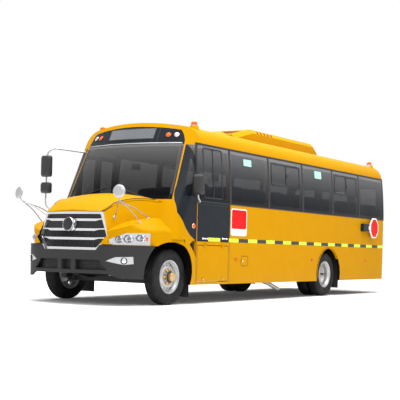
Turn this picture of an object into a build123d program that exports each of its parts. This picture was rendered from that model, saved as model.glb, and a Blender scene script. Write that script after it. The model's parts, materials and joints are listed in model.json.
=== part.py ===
from build123d import *
import os
from math import asin, atan, cos, degrees, hypot, pi, radians, sin, sqrt, tan

# Long-nosed school bus. Millimetres, +Z up, the front faces -Y and the driver sits at +X.
# The origin is on the ground, on the centre line, midway between front and rear bumpers.

# Overall layout along Y, measured back from the front axle
FRONT_AXLE_Y = -3490.0
WHEELBASE = 5300.0
REAR_AXLE_Y = FRONT_AXLE_Y + WHEELBASE
NOSE_OVERHANG = 1112.0
DOOR_START = 490.0
CAB_BAY = 1000.0
WINDOW_PITCH = 1316.0
WINDOW_COUNT = 5
REAR_WALL_DEPTH = 80.0
DOOR_START_Y = FRONT_AXLE_Y + DOOR_START
CAB_END_Y = DOOR_START_Y + CAB_BAY
WINDOWS_END_Y = CAB_END_Y + WINDOW_COUNT * WINDOW_PITCH
BODY_REAR_Y = WINDOWS_END_Y + REAR_WALL_DEPTH

# Body cross section
BODY_HALF_WIDTH = 1225.0
BODY_BOTTOM_Z = 305.0
SIDE_STRAIGHT_TOP_Z = 1450.0
SIDE_BOW_RADIUS = 9000.0
GUTTER_Z = 2530.0
ROOF_CORNER_RADIUS = 320.0
ROOF_CROWN_Z = 2880.0
WALL = 45.0
REAR_CORNER_RADIUS = 90.0
SEAM = 0.3
DOOR_GAP = 6.0

# Glazing
BELT_Z = 1610.0
GLASS_TOP_Z = 2500.0
GLASS_THICKNESS = 6.0
GLASS_GAP = 8.0
PILLAR_HALF = 62.0
RAIL = 62.0
OPENING_CORNER = 60.0

# Raked, curved front of the cab
SCREEN_RAKE = 26.5
SCREEN_RADIUS = 2570.0
SCREEN_BASE_Y = FRONT_AXLE_Y - 190.0
SCREEN_BASE_Z = 1600.0
SCREEN_CORNER = 240.0
SCREEN_OVERLAP = 4.0
SCREEN_FRAME = 66.0
SCREEN_HALF_LOW = 1038.0
SCREEN_HALF_HIGH = 965.0
VISOR_BOTTOM_Z = 2510.0
VISOR_CORNER = 420.0
SCREEN_GLASS = 8.0
WIPER_RADIUS = 8.0
WEDGE_LOW = (520.0, 980.0)
WEDGE_MID = (193.0, 1170.0)
WEDGE_NOSE = (40.0, 1410.0)
WEDGE_RISE = (75.0, 1600.0)
WEDGE_TOP = (170.0, 1830.0)
WEDGE_HEAD = (480.0, 2500.0)
QUARTER_WINDOW = ((180.0, 1680.0), (436.0, 1680.0), (436.0, 2290.0))

# Floor and interior
FLOOR_Z = 980.0
FLOOR_THICKNESS = 40.0
SEAT_PITCH = 730.0
SEAT_ROWS = 9
SEAT_WIDTH = 900.0
SEAT_DEPTH = 420.0
SEAT_HEIGHT = 430.0
SEAT_BACK_HEIGHT = 545.0
SEAT_CUSHION = 95.0
SEAT_BACK = 85.0

# Wheels and tyres
TYRE_RADIUS = 428.0
TYRE_WIDTH = 214.0
RIM_RADIUS = 262.0
BEAD_RADIUS = RIM_RADIUS - 8
STUD_CIRCLE = 222.25
STUD_COUNT = 6
HAND_HOLES = 6
FRONT_TRACK_HALF = 985.0
REAR_OUTER_HALF = 1050.0
TWIN_SPACING = 250.0
KINGPIN_HALF = 820.0
FRONT_DISH = 62.0
STEER_ANGLE = 35.0
WHEEL_HOUSE_RADIUS = 500.0
ARCH_LIP_X = 1085.0
BUMPER_ARCH_RADIUS = 655.0
REAR_ARCH_RADIUS = 520.0
HUB_RADIUS = 85.0
HUB_INNER = 115.0
STUB_RADIUS = 34.0
STUB_DEPTH = 45.0

# Nose. A line holds the fender's top at its front end, at its peak and at the cab
CREST_LINE = (1000.0, 1320.0, 1050.0)
SHOULDER_LINE = (560.0, 1075.0, 720.0)
FENDER_HALF_WIDTH = 1130.0
FENDER_CREST_HALF = 950.0
FENDER_PEAK = -120.0
FENDER_ROUND = 80.0
FLARE_END = 250.0
HOOD_RADIUS = 1500.0
HOOD_CROWN_RADIUS = 3800.0
HOOD_TOP_Z = 1700.0
HOOD_CENTRE = -150.0
HOOD_THICKNESS = 28.0
HOOD_REAR_CLEARANCE = 75.0
HOOD_GAP = 6.0
HOOD_HINGE = -95.0
HOOD_HINGE_X = 800.0
HOOD_HINGE_Z = 1590.0
COWL_UNDER_Z = 1525.0
COWL_BOTTOM_Z = 1000.0
ARCH_WALL_X = 620.0
NOSE_SKIN = 24.0
BUMPER_TOP_Z = 890.0
BUMPER_BOTTOM_Z = 400.0
BUMPER_SKIN = 40.0
BUMPER_PROUD = 38.0

# Opening in the fender's skin, behind the front axle and up: heel, back, shoulder, top, toe and foot
ARCH_OUTLINE = ((335.0, 305.0), (375.0, 640.0), (175.0, 900.0), (-120.0, 957.0), (-415.0, 890.0), (-560.0, 700.0))

# Grille, headlamps and the openings in the bumper, as (X, Z) corners
GRILLE_OUTLINE = ((510.0, 812.0), (672.0, 1018.0), (540.0, 1378.0))
GRILLE_FRAME = 36.0
GRILLE_CORNER = 26.0
GRILLE_BARS = (976.0, 1110.0, 1255.0)
GRILLE_BAR_HALF = 18.0
BOSS_Z = 1187.0
LAMP_Z = (BUMPER_TOP_Z + 6, 1075.0)
LAMP_X = (690.0, 1110.0)
LENSES = ((812.0, 975.0, 52.0), (920.0, 985.0, 56.0), (1035.0, 1000.0, 48.0))
FOG_POINTS = ((668.0, 655.0), (800.0, 715.0), (1005.0, 725.0), (1010.0, 620.0), (905.0, 605.0))
BUMPER_MOUTH = ((-560.0, 670.0), (560.0, 670.0), (690.0, 520.0), (-690.0, 520.0))
CHIN = ((-5000.0, 395.0), (-900.0, 395.0), (-700.0, 465.0), (700.0, 465.0), (900.0, 395.0), (5000.0, 395.0))

# Chassis
RAIL_HALF = 400.0
RAIL_WIDTH = 70.0
RAIL_BOTTOM_Z = 560.0
RAIL_HEIGHT = 200.0
TOW_EYE_WIDTH = 30.0
TOW_EYE_RADIUS = 20.0
TOW_EYE_RISE = 60.0
AXLE_Z = TYRE_RADIUS
WHEEL_BOX_HALF = 560.0
WHEEL_BOX_TOP = AXLE_Z + REAR_ARCH_RADIUS + 70
HANGER_DROP = 60.0
SPRING_SAG = 70.0
SPRING_Z = RAIL_BOTTOM_Z - HANGER_DROP - SEAM - SPRING_SAG

# Entrance, hatches and rear exit
LEAF_THICKNESS = 36.0
DOOR_BOTTOM_Z = 400.0
DOOR_TOP_Z = 2440.0
STEP_RISE = 290.0
STEP_FRONT_Y = DOOR_START_Y + 12
STEP_INNER_X = -640.0
STEP_MIDDLE_X = -960.0
HATCH_BOTTOM_Z = 350.0
HATCH_TOP_Z = 925.0
DOOR_END_Y = CAB_END_Y - 20
HATCH_Y = (DOOR_START_Y + 35, CAB_END_Y - 35)
FLAP_Y = (FRONT_AXLE_Y + 1880, FRONT_AXLE_Y + 2100)
FLAP_Z = (600.0, 765.0)
EXIT_HALF_WIDTH = 420.0
EXIT_BOTTOM_Z = 960.0
EXIT_TOP_Z = 2380.0
DOOR_HINGE_Z = (1060.0, 1390.0)
MEETING_BEVEL = 12.0
FLAP_GAP = 5.0
HINGE_PROUD = 9.0
HINGE_RADIUS = 7.0
HINGE_PIN = 3.5

# Stop arm
STOP_SIZE = 430.0
STOP_HINGE = 7130.0
STOP_Z = 1412.0
STOP_ARM_HALF_HEIGHT = 80.0
STOP_THICKNESS = 22.0

nodes = {}


def station(distance):
    """Y of a place that lies this far behind the front axle."""
    return FRONT_AXLE_Y + distance


def block(x, y, z):
    """Box from three (low, high) pairs."""
    size = [b - a for a, b in (x, y, z)]
    centre = [(a + b) / 2 for a, b in (x, y, z)]
    return Pos(*centre) * Box(*size)


def both_sides(shape):
    """A left-hand shape with its mirror image on the right."""
    return shape + mirror(shape, about=Plane.YZ)


def along_y(face, start, end):
    """Prism of a face drawn at Y = 0, from start to end."""
    return extrude(face.moved(Location((0, start, 0))), amount=end - start, dir=(0, 1, 0))


def yz_face(points):
    """Flat face in the plane X = 0 from a list of (y, z) corners."""
    return make_face(Polyline(*[(0, y, z) for y, z in points], close=True))


def along_x(face, start, end):
    """Prism of a face drawn at X = 0, from start to end."""
    return extrude(face.moved(Location((start, 0, 0))), amount=end - start, dir=(1, 0, 0))


def rod(points, radius, bend=None):
    """Round bar along a route of straight runs joined by tangent arcs."""
    path = FilletPolyline(*points, radius=bend) if bend else Polyline(*points)
    start = Plane(origin=path @ 0, z_dir=path % 0)
    return sweep(start * Circle(radius), path=path)


def hinge(plane, skin, length=80.0, reach=40.0):
    """Knuckles about a plane's Z axis, on a face at local y = skin: the moving half and the fixed half.

    The moving tab lies towards local +X and the fixed tabs towards local -X."""
    quarter = length / 4
    tab_y = sorted((skin, skin * 0.35))
    mid = quarter - SEAM
    moving = Cylinder(HINGE_RADIUS, 2 * mid) + block((0, reach), tab_y, (-mid, mid))
    moving = moving - Cylinder(HINGE_PIN + SEAM, length)
    fixed = Cylinder(HINGE_PIN, length)
    for low, high in ((-2 * quarter, -quarter), (quarter, 2 * quarter)):
        fixed = fixed + Pos(0, 0, (low + high) / 2) * Cylinder(HINGE_RADIUS, quarter)
        fixed = fixed + block((-reach, 0), tab_y, (low, high))
    return plane * moving, plane * fixed


def roof_angles():
    """Angles, in degrees, at which the side's bow and the roof's corner arc end, with the crown radius."""
    a1 = asin((GUTTER_Z - SIDE_STRAIGHT_TOP_Z) / SIDE_BOW_RADIUS)
    reach = SIDE_BOW_RADIUS - ROOF_CORNER_RADIUS
    cx = BODY_HALF_WIDTH - SIDE_BOW_RADIUS + reach * cos(a1)
    cz = SIDE_STRAIGHT_TOP_Z + reach * sin(a1)
    d = cz - ROOF_CROWN_Z
    crown = (ROOF_CORNER_RADIUS**2 - cx**2 - d**2) / (2 * (d + ROOF_CORNER_RADIUS))
    a2 = atan((cz - ROOF_CROWN_Z + crown) / cx)
    return a1, a2, cx, cz, crown


def half_width(z, inset=0.0):
    """Half width of the body's side at a height up to the gutter."""
    if z <= SIDE_STRAIGHT_TOP_Z:
        return BODY_HALF_WIDTH - inset
    rise = z - SIDE_STRAIGHT_TOP_Z
    return BODY_HALF_WIDTH - SIDE_BOW_RADIUS + sqrt((SIDE_BOW_RADIUS - inset) ** 2 - rise**2)


def body_face(inset=0.0, bottom=BODY_BOTTOM_Z):
    """The body's cross section at Y = 0, with every wall moved in by inset."""
    a1, a2, cx, cz, crown = roof_angles()
    bow = SIDE_BOW_RADIUS - inset
    corner = ROOF_CORNER_RADIUS - inset
    ox = BODY_HALF_WIDTH - SIDE_BOW_RADIUS
    low = (BODY_HALF_WIDTH - inset, 0, bottom)
    knee = (BODY_HALF_WIDTH - inset, 0, SIDE_STRAIGHT_TOP_Z)
    bow_mid = (ox + bow * cos(a1 / 2), 0, SIDE_STRAIGHT_TOP_Z + bow * sin(a1 / 2))
    gutter = (ox + bow * cos(a1), 0, SIDE_STRAIGHT_TOP_Z + bow * sin(a1))
    mid = (a1 + a2) / 2
    corner_mid = (cx + corner * cos(mid), 0, cz + corner * sin(mid))
    shoulder = (cx + corner * cos(a2), 0, cz + corner * sin(a2))
    top = (0, 0, ROOF_CROWN_Z - inset)
    left = [
        Line(low, knee),
        ThreePointArc(knee, bow_mid, gutter),
        ThreePointArc(gutter, corner_mid, shoulder),
        ThreePointArc(shoulder, top, (-shoulder[0], 0, shoulder[2])),
    ]
    right = [mirror(edge, about=Plane.YZ) for edge in left[:3]]
    floor = Line((-low[0], 0, bottom), low)
    return make_face(Curve() + left + right + [floor])


def body_prism(inset, start, end, bottom=BODY_BOTTOM_Z):
    """Solid of the body's cross section between two stations."""
    return along_y(body_face(inset, bottom), start, end)


def lean_plane():
    """Plane square to the windscreen's lean, with its origin at the screen's centre of curvature."""
    lean = radians(SCREEN_RAKE)
    return Plane(origin=(0, SCREEN_BASE_Y + SCREEN_RADIUS / cos(lean), SCREEN_BASE_Z), x_dir=(1, 0, 0),
                 z_dir=(0, sin(lean), cos(lean)))


def screen_y(x, z):
    """Y of the windscreen's outer face at a place across the bus and a height."""
    lean = radians(SCREEN_RAKE)
    bow = SCREEN_RADIUS - sqrt(SCREEN_RADIUS**2 - x**2)
    return SCREEN_BASE_Y + (z - SCREEN_BASE_Z) * tan(lean) + bow / cos(lean)


def cab_form(inset=0.0):
    """Leaning solid whose front is the curved screen and whose corners turn into the body's sides."""
    big = SCREEN_RADIUS - inset
    corner = SCREEN_CORNER - inset
    cx = BODY_HALF_WIDTH + SCREEN_OVERLAP - SCREEN_CORNER
    reach = SCREEN_RADIUS - SCREEN_CORNER
    cy = -sqrt(reach**2 - cx**2)
    joint = (cx * big / reach, cy * big / reach)
    turn = (atan(joint[1] / joint[0])) / 2
    corner_mid = (cx + corner * cos(turn), cy + corner * sin(turn))
    side = (cx + corner, cy)
    rear = 14000.0
    front = ThreePointArc(joint, (0, -big), (-joint[0], joint[1]))
    left = ThreePointArc(side, corner_mid, joint)
    right = ThreePointArc((-joint[0], joint[1]), (-corner_mid[0], corner_mid[1]), (-side[0], side[1]))
    back = Polyline((-side[0], side[1]), (-side[0], rear), (side[0], rear), side)
    outline = make_face(Curve() + [front, left, right, back])
    return extrude(lean_plane() * outline, amount=9000, both=True)


def screen_mouth():
    """Solid through the cab's front, bounded by the edge of the glass and of the panel above it."""
    low, high = SCREEN_BASE_Z + 15, GUTTER_Z
    taper = (SCREEN_HALF_HIGH - SCREEN_HALF_LOW) / (high - low)
    top = ROOF_CROWN_Z
    wide = SCREEN_HALF_LOW + taper * (top - low)
    edge = [(SCREEN_HALF_LOW, low), (wide, top), (-wide, top), (-SCREEN_HALF_LOW, low)]
    sides = make_face(Polyline(*[(x, 0, z) for x, z in edge], close=True))
    head = [corner for corner in sides.vertices() if corner.Z > top - 1]
    sides = fillet(head, VISOR_CORNER)
    front = FRONT_AXLE_Y - 800
    sides = along_y(sides, front, DOOR_START_Y + 100)
    return body_prism(SCREEN_FRAME, front, DOOR_START_Y + 100, SCREEN_BASE_Z) & sides


def wedge_line(offset=0.0):
    """Side view of the dark quarter panel's front edge, from its foot to its head."""
    low, mid, nose, rise, top, head = [
        (0, station(y) + offset, z)
        for y, z in (WEDGE_LOW, WEDGE_MID, WEDGE_NOSE, WEDGE_RISE, WEDGE_TOP, WEDGE_HEAD)
    ]
    return [ThreePointArc(low, mid, nose), ThreePointArc(nose, rise, top), Line(top, head)]


def wedge_face(offset=0.0):
    """Side view of the quarter panel, from its curved front edge back to the driver's window."""
    edge = wedge_line(offset)
    low = edge[0] @ 0
    head = edge[-1] @ 1
    back = DOOR_START_Y - SEAM
    low_corner = (0, max(back, low.Y), low.Z)
    rest = Polyline(head, (0, back + 200, head.Z), (0, back + 200, low.Z), low)
    return make_face(Curve() + edge + [rest])


def cab_face():
    """Side view of all that stands above the cowl: screen pillars, quarter panels and roof."""
    edge = wedge_line()
    low, nose = edge[0] @ 0, edge[1] @ 0
    top = SCREEN_BASE_Z
    far = station(-1500)
    high = ROOF_CROWN_Z + 200
    back = DOOR_START_Y + 400
    rise = Polyline(
        nose, edge[1] @ 0.4, (0, far, (edge[1] @ 0.4).Z), (0, far, high), (0, back, high), (0, back, low.Z), low
    )
    return make_face(Curve() + [edge[0], rise])


def body_shell():
    """The whole hollow body, before it is split where its panels meet."""
    front = station(-500)
    outer = body_prism(0, front, BODY_REAR_Y)
    rim = [e for e in outer.edges() if abs(e.center().Y - BODY_REAR_Y) < 1 and e.center().Z > BODY_BOTTOM_Z + 1]
    outer = fillet(rim, REAR_CORNER_RADIUS) & cab_form()
    inner = body_prism(WALL, front - 50, BODY_REAR_Y - WALL, BODY_BOTTOM_Z - 100) & cab_form(WALL)
    return outer - inner


def skin_band(outside, inside, low, high, start, end):
    """Strip of the left side wall between two depths, two heights and two stations."""
    strip = body_prism(outside, start, end) & block((600, 1400), (start, end), (low, high))
    core = body_prism(inside, start - 1, end + 1)
    if start < DOOR_START_Y + 200:
        strip = strip & cab_form(outside)
        core = core & cab_form(inside)
    return strip - core


def opening(start, end, low, high, radius=OPENING_CORNER):
    """Rounded window cut right through the left wall."""
    width = end - start
    height = high - low
    face = Plane.YZ * Pos((start + end) / 2, (low + high) / 2) * RectangleRounded(width, height, radius)
    return along_x(face, 1000, 1400)


def window_bays():
    """Start and end of each side window pane on the left, from the cab's to the last."""
    bays = [(DOOR_START_Y, CAB_END_Y)]
    for index in range(WINDOW_COUNT):
        start = CAB_END_Y + index * WINDOW_PITCH
        bays.append((start, start + WINDOW_PITCH))
    return bays


def arch_cylinder(y, radius, inner, outer, z=AXLE_Z):
    """Round wheel opening from X = inner to X = outer, on the left."""
    turned = Pos((inner + outer) / 2, y, z) * Rot(0, 90, 0) * Cylinder(radius, outer - inner)
    down = block((inner, outer), (y - radius, y + radius), (z - radius - 200, z))
    return turned + down


def make_body():
    """Sides, roof, pillars, quarter panels and rear wall, cut from one shell where the real panels meet."""
    shell = body_shell()
    half = SEAM / 2
    far = 6000.0
    wide = (-1400, 1400)
    cut_y = WINDOWS_END_Y + 8
    mouth = screen_mouth()
    nodes["roof"] = (shell & block(wide, (-far, far), (GUTTER_Z + half, 3200))) - mouth
    below = shell & block(wide, (-far, far), (0, GUTTER_Z - half))

    left = below & block((0, 1400), (DOOR_START_Y, cut_y - half), (0, 3200))
    bays = window_bays()
    left = left - skin_band(-20, GLASS_THICKNESS + SEAM, BELT_Z, GLASS_TOP_Z, bays[0][0] - 20, bays[-1][1] + 4)
    for start, end in bays:
        left = left - opening(start + PILLAR_HALF, end - PILLAR_HALF, BELT_Z + RAIL, GLASS_TOP_Z - RAIL)
    left = left - arch_cylinder(REAR_AXLE_Y, REAR_ARCH_RADIUS, 700, 1400) - mouth
    right = mirror(left, about=Plane.YZ)

    skin = (BODY_HALF_WIDTH - 100, BODY_HALF_WIDTH + 100)
    hatch_hole = block(skin, HATCH_Y, (HATCH_BOTTOM_Z, HATCH_TOP_Z))
    flap_hole = block(skin, FLAP_Y, FLAP_Z)
    nodes["side_panel_left"] = left - hatch_hole - flap_hole
    doorway = block((-1400, -900), (DOOR_START_Y - 40, DOOR_END_Y), (0, DOOR_TOP_Z + DOOR_GAP))
    nodes["side_panel_right"] = right - doorway

    rear = below & block(wide, (cut_y + half, far), (0, 3200))
    exit_y = (BODY_REAR_Y - 200, BODY_REAR_Y + 10)
    rear = rear - block((-EXIT_HALF_WIDTH, EXIT_HALF_WIDTH), exit_y, (EXIT_BOTTOM_Z, EXIT_TOP_Z))
    for start, end in REAR_WINDOWS:
        rear = rear - rear_opening(start, end, 20)
        rear = rear - block((start, end), (BODY_REAR_Y - GLASS_THICKNESS, BODY_REAR_Y + 1), REAR_WINDOW_Z)
    nodes["rear_wall"] = rear

    cab = (below & block(wide, (-far, DOOR_START_Y - SEAM), (0, 3200))) - mouth
    cab = cab & along_x(cab_face(), -1400, 1400)
    wedge = along_x(wedge_face(), -1400, 1400)
    hole = both_sides(along_x(yz_face([(station(y), z) for y, z in QUARTER_WINDOW]), 1000, 1400))
    skin = body_prism(0, -far, 0) - body_prism(GLASS_THICKNESS, -far - 1, 1)
    nodes["cab_pillars"] = cab - along_x(wedge_face(-SEAM), -1400, 1400)
    nodes["quarter_panels"] = (cab & wedge) - hole
    glass_form = (body_prism(0, -far, 0) & cab_form()) - (body_prism(GLASS_THICKNESS, -far - 1, 1) & cab_form(GLASS_THICKNESS))
    return mouth, glass_form & hole


REAR_WINDOW_Z = (1560.0, 2330.0)
REAR_WINDOWS = ((-1040.0, -EXIT_HALF_WIDTH - 70), (EXIT_HALF_WIDTH + 70, 1040.0))


def rear_opening(start, end, margin):
    """Rounded hole through the rear wall behind a fixed pane."""
    low, high = REAR_WINDOW_Z
    face = Plane.XZ * Pos((start + end) / 2, (low + high) / 2) * RectangleRounded(
        end - start - 2 * margin, high - low - 2 * margin, OPENING_CORNER
    )
    return along_y(face, BODY_REAR_Y - 200, BODY_REAR_Y + 10)


def make_glazing(mouth, quarter):
    """Windscreen, the black panel over it, and every fixed pane."""
    front = block((-1400, 1400), (-6000, DOOR_START_Y + 50), (0, 3200))
    lower = block((-1300, 1300), (-6000, 6000), (0, VISOR_BOTTOM_Z - SEAM))
    upper = block((-1300, 1300), (-6000, 6000), (VISOR_BOTTOM_Z, 3200))
    nodes["windscreen"] = ((mouth & cab_form() & front) - cab_form(SCREEN_GLASS)) & lower
    nodes["visor_panel"] = ((mouth & cab_form() & front) - cab_form(WALL)) & upper

    panes = []
    low = BELT_Z + 2
    high = GLASS_TOP_Z - 2
    for start, end in window_bays():
        pane = skin_band(0, GLASS_THICKNESS, low, high, start + GLASS_GAP / 2, end - GLASS_GAP / 2)
        panes.append(pane)
    right = [mirror(pane, about=Plane.YZ) for pane in panes[1:]]
    backs = []
    for start, end in REAR_WINDOWS:
        y = (BODY_REAR_Y - GLASS_THICKNESS + 0.3, BODY_REAR_Y)
        z = (REAR_WINDOW_Z[0] + 2, REAR_WINDOW_Z[1] - 2)
        backs.append(block((start + 2, end - 2), y, z))
    nodes["side_and_rear_windows"] = panes + right + [quarter] + backs


def plan_face(inset, back_y, z):
    """Plan outline of the nose and bumper, seen from above, at height z."""
    front_y = FRONT_AXLE_Y - NOSE_OVERHANG + inset
    side_x = FENDER_HALF_WIDTH - inset
    corner = (660.0, front_y + 90)
    shoulder = (980.0 - 0.7 * inset, front_y + 320)
    side = (side_x, station(-500))
    end_y = min(station(FLARE_END), back_y)
    share = (end_y - side[1]) / (station(FLARE_END) - side[1])
    wide = side_x + share * (BODY_HALF_WIDTH - FENDER_HALF_WIDTH)
    flare = (wide, end_y)
    arcs = []
    for sign in (1, -1):
        points = [(sign * x, y, z) for x, y in (corner, shoulder, side)]
        arcs.append(ThreePointArc(*points))
    nose = ThreePointArc((corner[0], corner[1], z), (0, front_y, z), (-corner[0], corner[1], z))
    rest = [side, flare, (wide, back_y), (-wide, back_y), (-flare[0], flare[1]), (-side[0], side[1])]
    rest = [point for index, point in enumerate(rest) if index == 0 or point != rest[index - 1]]
    return make_face(Curve() + arcs + [nose, Polyline(*[(x, y, z) for x, y in rest])])


def fender_profile(x, line, inset, bottom):
    """Side view of the fender at one X: two arcs that meet level over the wheel, closed below."""
    back = DOOR_START_Y - SEAM - inset
    front = station(-NOSE_OVERHANG - 60)
    front_z, peak_z, back_z = [z - inset for z in line]
    peak = (x, station(FENDER_PEAK), peak_z)
    ahead = TangentArc(peak, (x, front, front_z), tangent=(0, -1, 0))
    behind = TangentArc(peak, (x, back, back_z), tangent=(0, 1, 0))
    rest = Polyline((x, back, back_z), (x, back, bottom), (x, front, bottom), (x, front, front_z))
    return make_face(Curve() + [ahead, behind, rest])


def fender_mass(inset, bottom):
    """Solid form of both fenders and the front between them, with the shoulders rounded."""
    crest_x = FENDER_CREST_HALF - inset / 2
    crest = fender_profile(crest_x, CREST_LINE, inset, bottom)
    wide = fender_profile(BODY_HALF_WIDTH, SHOULDER_LINE, inset, bottom)
    core = along_x(fender_profile(0, CREST_LINE, inset, bottom), -crest_x, crest_x)
    mass = core + both_sides(loft([crest, wide], ruled=True))
    back = DOOR_START_Y - SEAM - inset
    mass = mass & extrude(plan_face(inset, back, bottom), amount=1400, dir=(0, 0, 1))
    shoulders = []
    for edge in mass.edges().filter_by(GeomType.BSPLINE):
        place = edge.center()
        across = abs(place.Y - station(FENDER_PEAK)) < 3
        if abs(place.X) > FENDER_CREST_HALF + 20 and place.Z > 900 and abs(place.Y - back) > 5 and not across:
            shoulders.append(edge)
    return fillet(shoulders, FENDER_ROUND - inset)


def hood_quad(z, front_half, rear_half, front_y):
    """Plan trapezoid of the hood at one height."""
    rear_y = station(160)
    points = [(-front_half, front_y), (front_half, front_y), (rear_half, rear_y), (-rear_half, rear_y)]
    return make_face(Polyline(*[(x, y, z) for x, y in points], close=True))


def hood_prism(inset):
    """Tapered block under and beside the hood, from its shut lines outwards."""
    top = hood_quad(1800, 330 - inset, 1000 - inset, station(-1005) + inset)
    low = hood_quad(900, 700 - inset, 1190 - inset, station(-1085) + inset)
    return loft([low, top], ruled=True)


def hood_barrel(inset):
    """Solid under the hood's crowned top, curved both along and across the bus."""
    y0 = station(HOOD_CENTRE)
    z0 = HOOD_TOP_Z - HOOD_RADIUS
    half = 1250.0
    top = HOOD_TOP_Z - inset
    sag = HOOD_CROWN_RADIUS - sqrt(HOOD_CROWN_RADIUS**2 - half**2)
    arc = ThreePointArc((-half, y0, top - sag), (0, y0, top), (half, y0, top - sag))
    rest = Polyline((half, y0, top - sag), (half, y0, z0 + 500), (-half, y0, z0 + 500), (-half, y0, top - sag))
    section = make_face(Curve() + [arc, rest])
    axis = Axis((0, y0, z0), (1, 0, 0))
    ahead = revolve(section, axis, revolution_arc=80)
    return ahead + along_y(section.moved(Location((0, -y0, 0))), y0, y0 + 800)


def cowl_mass(inset, bottom, back=DOOR_START_Y - SEAM):
    """Block under the windscreen that joins the nose to the cab, in the cab's own outline."""
    top = SCREEN_BASE_Z - 14 - inset
    space = block((-1400, 1400), (station(-400), back), (bottom, top))
    return body_prism(inset, -6000, 0, 200) & cab_form(inset) & space


def arch_face():
    """Side view of the opening in the fender's skin."""
    heel, back, shoulder, top, toe, foot = [(0, station(y), z) for y, z in ARCH_OUTLINE]
    rear = ThreePointArc(heel, back, shoulder)
    crown = ThreePointArc(shoulder, top, toe)
    low = Polyline(toe, foot, (0, foot[1], 100), (0, heel[1], 100), heel)
    return make_face(Curve() + [rear, crown, low])


def make_nose():
    """Fenders, hood and the cowl between them, as open shells."""
    hood_mass = hood_barrel(0) & hood_prism(0)
    nose = fender_mass(0, BODY_BOTTOM_Z) + hood_mass + cowl_mass(0, COWL_BOTTOM_Z)
    behind = cab_form(-HOOD_REAR_CLEARANCE)
    front_edge = along_y(grille_face(HOOD_GAP), -6000, 0)
    over = block((-1300, 1300), (-6000, 0), (1250, 2000))
    hood = (hood_mass & over) - hood_barrel(HOOD_THICKNESS) - behind - front_edge
    gap_zone = hood_prism(-HOOD_GAP) - hood_barrel(HOOD_THICKNESS + HOOD_GAP) - cab_form(HOOD_GAP - HOOD_REAR_CLEARANCE)

    beside = block((ARCH_WALL_X + NOSE_SKIN, 1300), (-6000, station(440)), (0, 1500))
    fender_void = fender_mass(NOSE_SKIN, BODY_BOTTOM_Z - 200) & both_sides(beside)
    low_bay = block((-ARCH_WALL_X, ARCH_WALL_X), (station(-960), station(600)), (0, 1130))
    high_bay = hood_prism(60) & block((-1200, 1200), (station(-950), station(-300)), (1100, 2000))
    under_cowl = hood_prism(60) & block((-1200, 1200), (station(-301), station(60)), (1100, COWL_UNDER_Z))
    cab_void = cowl_mass(NOSE_SKIN, COWL_BOTTOM_Z + NOSE_SKIN, station(600)) & block((-1400, 1400), (station(60), 0), (0, 1900))
    arch = arch_cylinder(FRONT_AXLE_Y, WHEEL_HOUSE_RADIUS, ARCH_WALL_X, ARCH_LIP_X) + along_x(arch_face(), ARCH_LIP_X - 1, 1300)
    pocket = block((740, 935), (station(HOOD_HINGE) - 60, station(HOOD_HINGE) + 40), (HOOD_HINGE_Z - 34, 1700))
    shell = nose - (gap_zone & over) - fender_void - low_bay - high_bay - under_cowl - cab_void
    shell = shell - both_sides(arch) - both_sides(pocket) - along_x(cab_face(), -1400, 1400)
    shell = shell - bumper_zone() - grille_hole() - lamp_pockets()
    for x in (-HOOD_HINGE_X, HOOD_HINGE_X):
        axis = Plane(origin=(x, station(HOOD_HINGE), HOOD_HINGE_Z), x_dir=(0, -1, 0), z_dir=(1, 0, 0))
        moving, fixed = hinge(axis, -9, 60, 62)
        feet = fixed & block((-1300, 1300), (station(HOOD_HINGE) - 8, station(HOOD_HINGE) + 8), (0, 2000))
        for low, high in ((-30, -15), (15, 30)):
            y = (station(HOOD_HINGE) - 7, station(HOOD_HINGE) + 7)
            feet = feet + block((x + low, x + high), y, (HOOD_HINGE_Z - 40, HOOD_HINGE_Z - 3))
        hood = hood + moving
        shell = shell + feet
    nodes["hood"] = hood
    nodes["nose_shell"] = shell


def bumper_zone():
    """Space that the front bumper takes from the nose."""
    return block((-1400, 1400), (-6000, FRONT_AXLE_Y - 300), (0, BUMPER_TOP_Z + SEAM))


def grille_face(margin):
    """Six-cornered outline of the grille, in the plane Y = 0."""
    low, wide, top = GRILLE_OUTLINE
    right = [(low[0] + margin * 0.6, low[1] - margin), (wide[0] + margin, wide[1]), (top[0] + margin * 0.8, top[1] + margin)]
    points = right + [(-x, z) for x, z in reversed(right)]
    face = make_face(Polyline(*[(x, 0, z) for x, z in points], close=True))
    return fillet(face.vertices(), GRILLE_CORNER)


def grille_surface(depth):
    """Solid behind the grille's curved, slightly leaning front."""
    radius = 2450.0
    front = station(-1092) + depth
    lean = Plane(origin=(0, front + radius, GRILLE_OUTLINE[0][1]), z_dir=(0, 0.1, 1))
    return lean * Cylinder(radius, 3000)


def grille_hole():
    """Mouth in the nose that holds the grille."""
    return along_y(grille_face(SEAM), -6000, station(-880))


def grille_bar(z):
    """Front view of one bar, level in the middle with its ends turned up and drawn in."""
    half = GRILLE_BAR_HALF
    right = [(430, z - half), (500, z + 2), (800, z + 8), (800, z + 30), (440, z + half)]
    points = right + [(-x, level) for x, level in reversed(right)]
    return make_face(Polyline(*[(x, 0, level) for x, level in points], close=True))


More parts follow.
